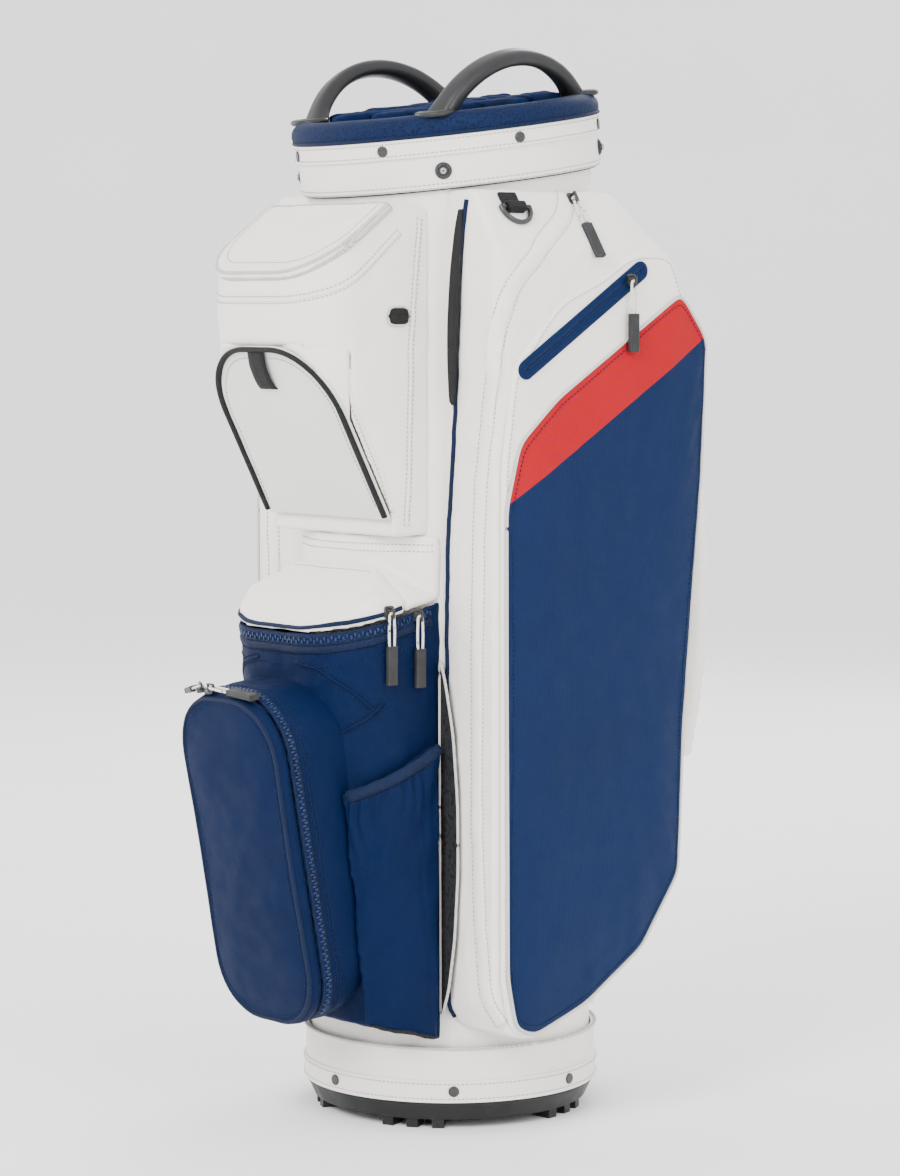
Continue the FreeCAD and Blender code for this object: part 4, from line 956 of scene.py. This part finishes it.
def cooler():
    """The padded neck, the cooler pocket with its zip and seams, and its lid."""
    yoke = soft("neck", "front_yoke", "white", voxel=0.0026, crown=0.003, reach=0.012)
    body = soft("cooler_body", "cooler_shell", "blue", voxel=0.0026, crown=0.003, reach=0.03, ripple=0.0010)
    lid = soft("cooler_cover", "cooler_lid", "white", "cooler_lid", voxel=0.0022, crown=0.0025, reach=0.015)
    skin = surface_of(body)
    zipper("cooler_zip", rim_line(0.006), skin, 0.0050)
    line = eased(resample(rim_line(0.014)), 4)
    bound("cooler_guard", line, skin, 0.0034, "blue_binding", flat=0.4, lift=0.0006)
    for name, drop in (("a", 0.019), ("b", 0.028)):
        line = eased(resample(rim_line(drop)), 4)
        sewn("cooler_stitch_" + name, line, skin, "thread_blue")
    for side, word in SIDES:
        low = [(side * 0.064, -0.176, 0.338), (side * 0.081, -0.155, 0.352), (side * 0.0885, -0.105, 0.402)]
        seam(f"cooler_seam_{word}", low, skin, "thread_dark", "blue")
        arch = [(side * 0.024, -0.186, 0.3975), (side * 0.050, -0.181, 0.392), (side * 0.074, -0.165, 0.374),
                (side * 0.084, -0.148, 0.356)]
        seam(f"cooler_arch_{word}", arch, skin, "thread_dark", "blue")
    cover = surface_of(lid)
    line = eased(resample(rim_line(-0.0062, ends=0.126)), 4)
    bound("cooler_cover_binding", line, cover, 0.0020, "blue_binding", "cooler_lid", flat=0.6, lift=0.0004)
    line = [(-0.085, -0.128, 0.445), (-0.050, -0.128, 0.4695), (0.050, -0.128, 0.4695), (0.085, -0.128, 0.445)]
    sewn("cooler_cover_stitch", resample(line), cover, "thread_white", "cooler_lid")
    front = surface_of(yoke)
    for word, z in (("low", 0.4865), ("high", 0.4920)):
        turns = [math.radians(a) for a in range(-44, 45, 4)]
        line = [(NECK_RADIUS * math.sin(t), -NECK_RADIUS * math.cos(t), z) for t in turns]
        sewn("neck_stitch_" + word, resample(line), front, "thread_white")


BALL_TOP = Vector((0, -0.2415, 0.371))
BALL_TILT = Matrix.Translation(BALL_TOP) @ Matrix.Rotation(math.radians(10.5), 4, "X") @ Matrix.Translation(-BALL_TOP)


def ball_pocket():
    """The ball pocket's tray and padded door, with the zip that runs round the door."""
    tray = soft("ball_body", "ball_pocket_shell", "blue", crown=0.0022, reach=0.012)
    half, low, high, arch = 0.065, 0.088, 0.371, 0.050
    shape = []
    for cx, cz, start in ((half - arch, high - arch, 0), (arch - half, high - arch, 90),
                          (arch - half, low + arch, 180), (half - arch, low + arch, 270)):
        turns = [math.radians(a) for a in range(start, start + 91, 10)]
        shape += [(cx + arch * math.cos(t), cz + arch * math.sin(t)) for t in turns]
    outline = spaced(shape)
    place = BALL_TILT @ facing_front(-0.236)
    door = panel("ball_cover", outline, place, 0.010, 0.0060, "blue", "ball_pocket_door", edge=0.006,
                 ripple=0.0008, node="ball_pocket_door")
    skin = surface_of(door)
    rim = outline_points(outline, place, 0.010, 0.0035)
    bound("ball_cover_piping", rim, skin, 0.0019, "blue_binding", "ball_pocket_door", closed=True, lift=0.0)
    inner = outline_points(outline, place, 0.014, 0.0085)
    sewn("ball_cover_stitch", inner + inner[:1], skin, "thread_blue", "ball_pocket_door", lift=0.0002)
    tray_skin = surface_of(tray)
    rear = BALL_TILT @ facing_front(-0.2295)
    home = BALL_TILT.inverted()
    order = outline_points(outline, rear, 0.0, -0.0005)
    floor_z = low + 0.012
    start = next(i for i, p in enumerate(order) if (home @ p).z <= floor_z < (home @ order[(i + 1) % len(order)]).z)
    ordered = [p for p in order[start + 1:] + order[:start + 1] if (home @ p).z > floor_z]
    zipper("ball_zip", ordered, tray_skin, 0.0045, pitch=0.0026)
    for k, back in enumerate((0.0095, 0.0125)):
        line = [p + Vector((0, back, 0)) for p in ordered]
        sewn(f"ball_body_stitch_{k}", eased(line, 3), tray_skin, "thread_blue")


# ---- side pockets ------------------------------------------------------------------------


def bottle_sleeve(side, word):
    """A loose gathered sleeve with an elastic hem, wrapped round the cooler's corner."""
    sleeve = soft(f"sleeve_{word}", f"bottle_sleeve_{word}", "blue", voxel=0.0020, crown=0.003,
                  reach=0.03, ripple=0.0004)
    inner_edge = 0.0705

    def hem_at(y):
        return 0.327 + 0.483 * (y + 0.096)

    mesh = sleeve.data
    for vertex in mesh.vertices:
        drop = hem_at(vertex.co.y) - vertex.co.z
        if drop < 0.004:
            continue
        along = math.atan2(vertex.co.y + 0.110, side * vertex.co.x - 0.028) * 0.075
        depth = 0.0020 * math.exp(-drop / 0.030) * min(1.0, (drop - 0.004) / 0.012)
        fold = math.sin(along * 560 + 5.0 * noise.noise(Vector((along * 45, drop * 22, side)))) * depth
        slump = 0.0030 * noise.noise(Vector((along * 30 + drop * 17, drop * 12, side * 3)))
        vertex.co += vertex.normal * (fold + slump)
    skin = surface_of(sleeve)
    round_line = [(side * x, y, hem_at(y) - 0.003) for x, y, _ in lower_line(0.300, 0.0125, 0.094)[:14]
                  if x > inner_edge]
    places, _ = bound(f"sleeve_hem_{word}", eased(resample(round_line), 3), skin, 0.0050, "blue_binding", flat=0.42,
                      lift=0.0006)
    line = [p - Vector((0, 0, 0.0075)) for p in places]
    sewn(f"sleeve_stitch_{word}", line, skin, "thread_blue")
    foot = [(side * x, y, 0.0795 - 0.27 * (y + 0.096)) for x, y, _ in lower_line(0.090, 0.0125, 0.097)[:14]
            if x > inner_edge]
    bound(f"sleeve_foot_{word}", resample(foot), skin, 0.0022, "binding", "bag", "blue_cloth", flat=0.6, lift=0.0002)


DOOR = [(-0.082, 0.134), (-0.082, 0.560), (-0.070, 0.640), (-0.020, 0.696), (0.030, 0.716), (0.060, 0.735),
        (0.104, 0.735), (0.116, 0.702), (0.146, 0.664), (0.141, 0.554), (0.121, 0.330), (0.116, 0.205),
        (0.073, 0.146), (0.007, 0.105), (-0.050, 0.086), (-0.072, 0.092)]
PANEL = [(-0.078, 0.140), (-0.080, 0.524), (-0.066, 0.577), (-0.025, 0.613), (0.114, 0.699), (0.143, 0.662),
         (0.138, 0.552), (0.118, 0.330), (0.113, 0.208), (0.071, 0.149), (0.006, 0.108), (-0.049, 0.089),
         (-0.069, 0.097)]


def side_pocket(side, word):
    """A garment pocket: its body, its door, and the coloured panel sewn on the door."""
    shell = soft(f"pocket_body_{word}", f"apparel_shell_{word}", "white", voxel=0.0026,
                 crown=0.0035, reach=0.03, ripple=0.0008)
    body = word + "_door"
    place = face_frame((side * 0.1615, 0, 0), (0, side, 0), (0, 0, 1))
    outline = rounded([(y * side, z) for y, z in DOOR], passes=6)
    door = panel(f"pocket_door_{word}", outline, place, 0.0040, 0.0016, "white", body, edge=0.005,
                 ripple=0.0006, node=f"apparel_door_{word}")
    face = face_frame((side * 0.1652, 0, 0), (0, side, 0), (0, 0, 1))
    cover_outline = rounded([(y * side, z) for y, z in PANEL], passes=3)
    cover = panel(f"pocket_face_{word}", cover_outline, face, 0.0028, 0.0050, "panel", body,
                  edge=0.004, ripple=0.0010, node=f"side_panel_{word}")
    piping(f"pocket_piping_{word}", outline_points(cover_outline, face, 0.0018, -0.0006), body=body)
    rows = outline_points(cover_outline, face, 0.006, 0.0055)
    sewn(f"pocket_face_stitch_{word}", rows + rows[:1], surface_of(cover), "thread_blue", body, "side_panel_cloth")
    rows = outline_points(outline, place, 0.006, 0.006)
    sewn(f"pocket_door_stitch_{word}", rows + rows[:1], surface_of(door), "thread_white", body)
    pocket_trim(side, word, shell)


def pocket_trim(side, word, shell):
    """Piping, the padded edge, the lens-shaped slot and the zip flap on the pocket's front."""
    skin = surface_of(shell)
    edge = ((0.1215, 0.776), (0.1110, 0.694), (0.1060, 0.604), (0.0960, 0.515), (0.0905, 0.446), (0.0905, 0.300),
            (0.0920, 0.200), (0.0960, 0.090))
    line = [(side * x, POCKET_FRONT, z) for x, z in edge]
    line = eased(resample(line, 0.005), 8)
    bound(f"pocket_edge_{word}", line, skin, 0.0022, "blue_binding", lift=0.0008)
    inner, outer = [], []
    for k in range(25):
        share = k / 24
        z = 0.768 - 0.160 * share
        middle = 0.1160 - 0.0105 * share - 0.0035 * math.sin(math.pi * share)
        half = 0.0045 * math.sin(math.pi * share) ** 0.7 + 0.0004
        inner.append((middle - half, z))
        outer.append((middle + half + 0.0035, z))
    shape = [(side * x, z) for x, z in inner + outer[::-1]]
    panel(f"pocket_slot_{word}", spaced(shape), facing_front(POCKET_FRONT + 0.0010), 0.0022, 0.0003, "binding",
          edge=0.0012)
    edge = ((0.1290, 0.017, 0.784), (0.1440, 0.004, 0.764), (0.1575, -0.030, 0.744), (0.1625, -0.070, 0.708),
            (0.1600, -0.088, 0.660), (0.1480, -0.088, 0.590), (0.1400, -0.088, 0.532), (0.1365, -0.088, 0.400),
            (0.1360, -0.088, 0.285), (0.1400, -0.088, 0.190), (0.1480, -0.088, 0.120), (0.1590, -0.087, 0.094))
    line = eased(resample([(side * x, y, z) for x, y, z in edge], 0.005), 10)
    places, normals = bound(f"zip_flap_{word}", line, skin, 0.0068, "white", flat=0.30, sides=14, lift=-0.0006)
    for k, offset in enumerate((-0.0078, 0.0078)):
        row, row_normals = laid(shifted(places, normals, offset), skin, 0.0003)
        stitches(f"zip_flap_stitch_{word}_{'ab'[k]}", row, row_normals, "thread_white")
    mesh = [(0.0915, 0.400), (0.0990, 0.378), (0.1090, 0.335), (0.1145, 0.280), (0.1150, 0.220), (0.1110, 0.165),
            (0.1030, 0.120), (0.0930, 0.095)]
    shape = rounded([(side * x, z) for x, z in mesh], passes=3)
    panel(f"gusset_{word}", shape, facing_front(POCKET_FRONT + 0.0012), 0.0016, 0.0008, "gusset", edge=0.003)
    piping(f"gusset_edge_{word}", outline_points(shape, facing_front(POCKET_FRONT - 0.0006), 0.0, -0.0005), 0.0012)


def chest_strip():
    """A welded zip guard across the right side's chest."""
    lean = math.radians(32.7)
    along, across = (0, math.cos(lean), math.sin(lean)), (0, -math.sin(lean), math.cos(lean))
    place = face_frame((0.1662, 0.004, 0.678), along, across)
    half, wide = 0.083, 0.008
    shape = []
    for end, start in ((half - wide, -math.pi / 2), (-half + wide, math.pi / 2)):
        shape += [(end + wide * math.cos(t), wide * math.sin(t)) for t in np.linspace(start, start + math.pi, 12)]
    outline = spaced(shape, 0.002)
    verts = []
    rings = ((0.0, -0.0002), (0.0, 0.0012), (0.0006, 0.0018), (0.0030, 0.0020), (0.0062, 0.0020), (0.0070, 0.0011),
             (0.0078, 0.0010))
    for inset, height in rings:
        for u, v in outline:
            span = max(-half + wide, min(half - wide, u))
            away = math.hypot(u - span, v) or 1e-9
            shrink = max(0.0, 1 - inset / away)
            verts.append(place @ Vector((span + (u - span) * shrink, v * shrink, height)))
    faces = grid_faces(len(rings), len(outline), closed=True)
    faces.append(tuple(range(len(verts) - len(outline), len(verts))))
    strip = add("chest_guard", verts, faces, "weld", "right_door")
    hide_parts("chest_zip_strip")
    line = [place @ Vector((u, 0, 0.0010)) for u in (-half + 0.010, half - 0.010)]
    normal = place.to_3x3() @ Vector((0, 0, 1))
    path = resample(line, 0.0022)
    stitches("chest_zip_teeth", path, [normal] * len(path), "teeth", "right_door", "welded_blue", pitch=0.0022,
             length=0.0014, radius=0.0009)


def towel_ring():
    """A D ring held by folded webbing."""
    finish("enamel", "d_ring")
    soft("ring_webbing", "d_ring_webbing", "tape", voxel=0.0011, round_off=3, crown=0.0002,
         reach=0.004, ripple=0.0001)


# ---- back --------------------------------------------------------------------------------


def back():
    """The padded spine and the shoulder strap."""
    spine = soft("spine_pad", "spine_panel", "white", voxel=0.0030, crown=0.0030, reach=0.02)
    skin = surface_of(spine)
    for side, word in SIDES:
        x = side * 0.044
        seam(f"spine_seam_{word}", [(x, 0.130, 0.085), (x, 0.130, 0.40), (x, 0.130, 0.765)], skin)
    for k, z in enumerate((0.250, 0.420, 0.590)):
        seam(f"spine_bar_{k}", [(-0.044, 0.130, z), (-0.012, 0.130, z)], skin, double=False)
    soft("strap_tape", "strap_webbing", "tape", "strap", voxel=0.0015, round_off=3, crown=0.0001,
               reach=0.01, ripple=0.0002)
    pad = soft("strap_cushion", "strap_pad", "white", "strap", crown=0.004, reach=0.012)
    finish("black", "strap_buckle", "strap_anchors")
    centre = Vector((0.030, -0.3217, 0.438))
    pad_skin = surface_of(pad)
    for side, word in SIDES:
        rows = []
        for k in range(41):
            angle = math.radians(-15.6 + 31.2 * k / 40)
            out = Vector((0, math.cos(angle), math.sin(angle)))
            rows.append(centre + out * 0.575 + Vector((side * 0.026, 0, 0)))
        sewn("strap_stitch_" + word, rows, pad_skin, "thread_white", "strap", "strap_cloth", lift=0.0004)


# ---- zip pulls ---------------------------------------------------------------------------


def pull_frame(spot, normal, up, droop=0):
    """The frame in which a pull hangs: Y points away from the grip, Z off the zip."""
    z, y = Vector(normal).normalized(), Vector(up).normalized()
    made = Matrix((y.cross(z), y, z)).transposed().to_4x4()
    made.translation = Vector(spot)
    return made @ Matrix.Translation((0, 0, 0.005)) @ Matrix.Rotation(math.radians(droop), 4, "X")


def pull(name, hung):
    """A slider, a cord looped under its bridge, and the moulded grip on the cord's ends."""
    finish("enamel", name + "_slider")
    finish("grip", name + "_grip")
    route = [(-0.0024, -0.031), (-0.0031, -0.016), (-0.0024, -0.0050), (-0.0024, 0.0),
             (0.0024, 0.0), (0.0024, -0.0050), (0.0031, -0.016), (0.0024, -0.031)]
    curve = bpy.data.curves.new(name + "_loop", "CURVE")
    curve.dimensions = "3D"
    curve.bevel_depth = 0.0011
    curve.bevel_resolution = 4
    curve.resolution_u = 10
    spline = curve.splines.new("NURBS")
    spline.points.add(len(route) - 1)
    for point, (x, y) in zip(spline.points, route):
        point.co = (*(hung @ Vector((x, y, 0))), 1)
    spline.order_u = 3
    spline.use_endpoint_u = True
    curve.materials.append(M["cord"])
    loop = bpy.data.objects.new(name + "_loop", curve)
    bpy.context.scene.collection.objects.link(loop)
    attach(loop, name + "_pull")
    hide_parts(name + "_cord")


def shoulder_spot(y, down):
    """A place on the right pocket's sloping shoulder, its normal, and the way up the slope."""
    head, foot = Vector((0.1287, y, 0.784)), Vector((0.1615, y, 0.735))
    slope = (foot - head).normalized()
    return head + slope * down, slope.cross(Vector((0, 1, 0))), -slope


def pulls():
    """The six zip pulls where they hang at rest."""
    turn = BALL_TILT.to_3x3()
    off, back = turn @ Vector((0, 0, 1)), turn @ Vector((0.906, -0.423, 0))
    pull("ball_zip_right", pull_frame((-0.018, BALL_TOP.y, BALL_TOP.z), off, (-1, 0, 0), 3.5))
    pull("ball_zip_left", pull_frame((-0.032, BALL_TOP.y, BALL_TOP.z), off, back, 14))
    pull("cooler_zip_front", pull_frame((0.088, -0.140, 0.4387), (1, 0, 0), (0, 0, 1)))
    pull("cooler_zip_rear", pull_frame((0.088, -0.110, 0.4347), (1, 0, 0), (0, 0, 1)))
    pull("chest_zip", pull_frame((0.1682, 0.054, 0.710), (1, 0, 0), (0, 0, 1)))
    spot, normal, up = shoulder_spot(0.019, 0.009)
    pull("shoulder_zip", pull_frame(spot, normal, up))


# ---- setting -----------------------------------------------------------------------------


def camera():
    """A long lens on a low stand, off the bag's right front corner."""
    made = bpy.data.cameras.new("camera")
    made.sensor_width = 36
    made.lens = 106.7
    made.clip_end = 40
    eye = bpy.data.objects.new("camera", made)
    bpy.context.scene.collection.objects.link(eye)
    turn, pitch = math.radians(50), math.radians(4.64)
    away = 3.0
    eye.location = (away * math.sin(turn), -away * math.cos(turn), 0.690)
    eye.rotation_euler = (math.pi / 2 - pitch, 0, turn)
    bpy.context.scene.camera = eye


def lamp(name, spot, aim, size, power):
    """A soft rectangular lamp turned towards a point."""
    light = bpy.data.lights.new(name, "AREA")
    light.shape = "RECTANGLE"
    light.size, light.size_y = size
    light.energy = power
    made = bpy.data.objects.new(name, light)
    bpy.context.scene.collection.objects.link(made)
    made.location = spot
    made.rotation_euler = (Vector(aim) - Vector(spot)).to_track_quat("-Z", "Y").to_euler()


def studio():
    """A pale floor that sweeps up into a round backdrop, an even sky, and four soft lamps."""
    ground = Shader("studio_floor", 0.9, 0.1)
    ground.colour(ground.mix(ground.ramp(ground.noise(2, 3), 0.3, 0.7), (0.86, 0.86, 0.86), (0.88, 0.88, 0.88)))
    ground.bump(ground.noise(120, 3), 0.0002, 0.3)
    profile = [(0.4, 0), (2.5, 0), (3.9, 0), (4.5, 0.05), (5.1, 0.20), (5.6, 0.45), (6.0, 0.80), (6.3, 1.2),
               (6.45, 1.7), (6.5, 2.3), (6.5, 4.2)]
    count = 96
    verts = [(r * math.cos(math.tau * k / count), r * math.sin(math.tau * k / count), z) for r, z in profile
             for k in range(count)]
    faces = [f[::-1] for f in grid_faces(len(profile), count, closed=True)] + [tuple(range(count))]
    data = bpy.data.meshes.new("floor")
    data.from_pydata(verts, [], faces)
    data.polygons.foreach_set("use_smooth", [True] * len(data.polygons))
    data.materials.append(ground.material)
    floor = bpy.data.objects.new("floor", data)
    bpy.context.scene.collection.objects.link(floor)
    world = bpy.data.worlds.new("studio")
    world.use_nodes = True
    world.node_tree.nodes["Background"].inputs["Color"].default_value = (1, 1, 1, 1)
    world.node_tree.nodes["Background"].inputs["Strength"].default_value = 2.0
    bpy.context.scene.world = world
    lamp("key", (1.1, -3.2, 2.6), (0, 0, 0.45), (1.6, 1.6), 150)
    lamp("side", (3.4, -0.4, 1.6), (0, 0, 0.45), (1.2, 1.8), 58)
    lamp("back", (-1.6, 2.6, 2.2), (0, 0, 0.5), (1.4, 1.4), 66)
    lamp("left", (-3.0, -1.6, 1.4), (0, 0, 0.45), (1.2, 1.8), 48)


camera()
pulls()
studio()
base()
tube_cloth()
top()
dividers()
for side, word in SIDES:
    handle(side, word)
    bottle_sleeve(side, word)
    side_pocket(side, word)
upper_pocket()
flap()
cooler()
ball_pocket()
chest_strip()
towel_ring()
back()
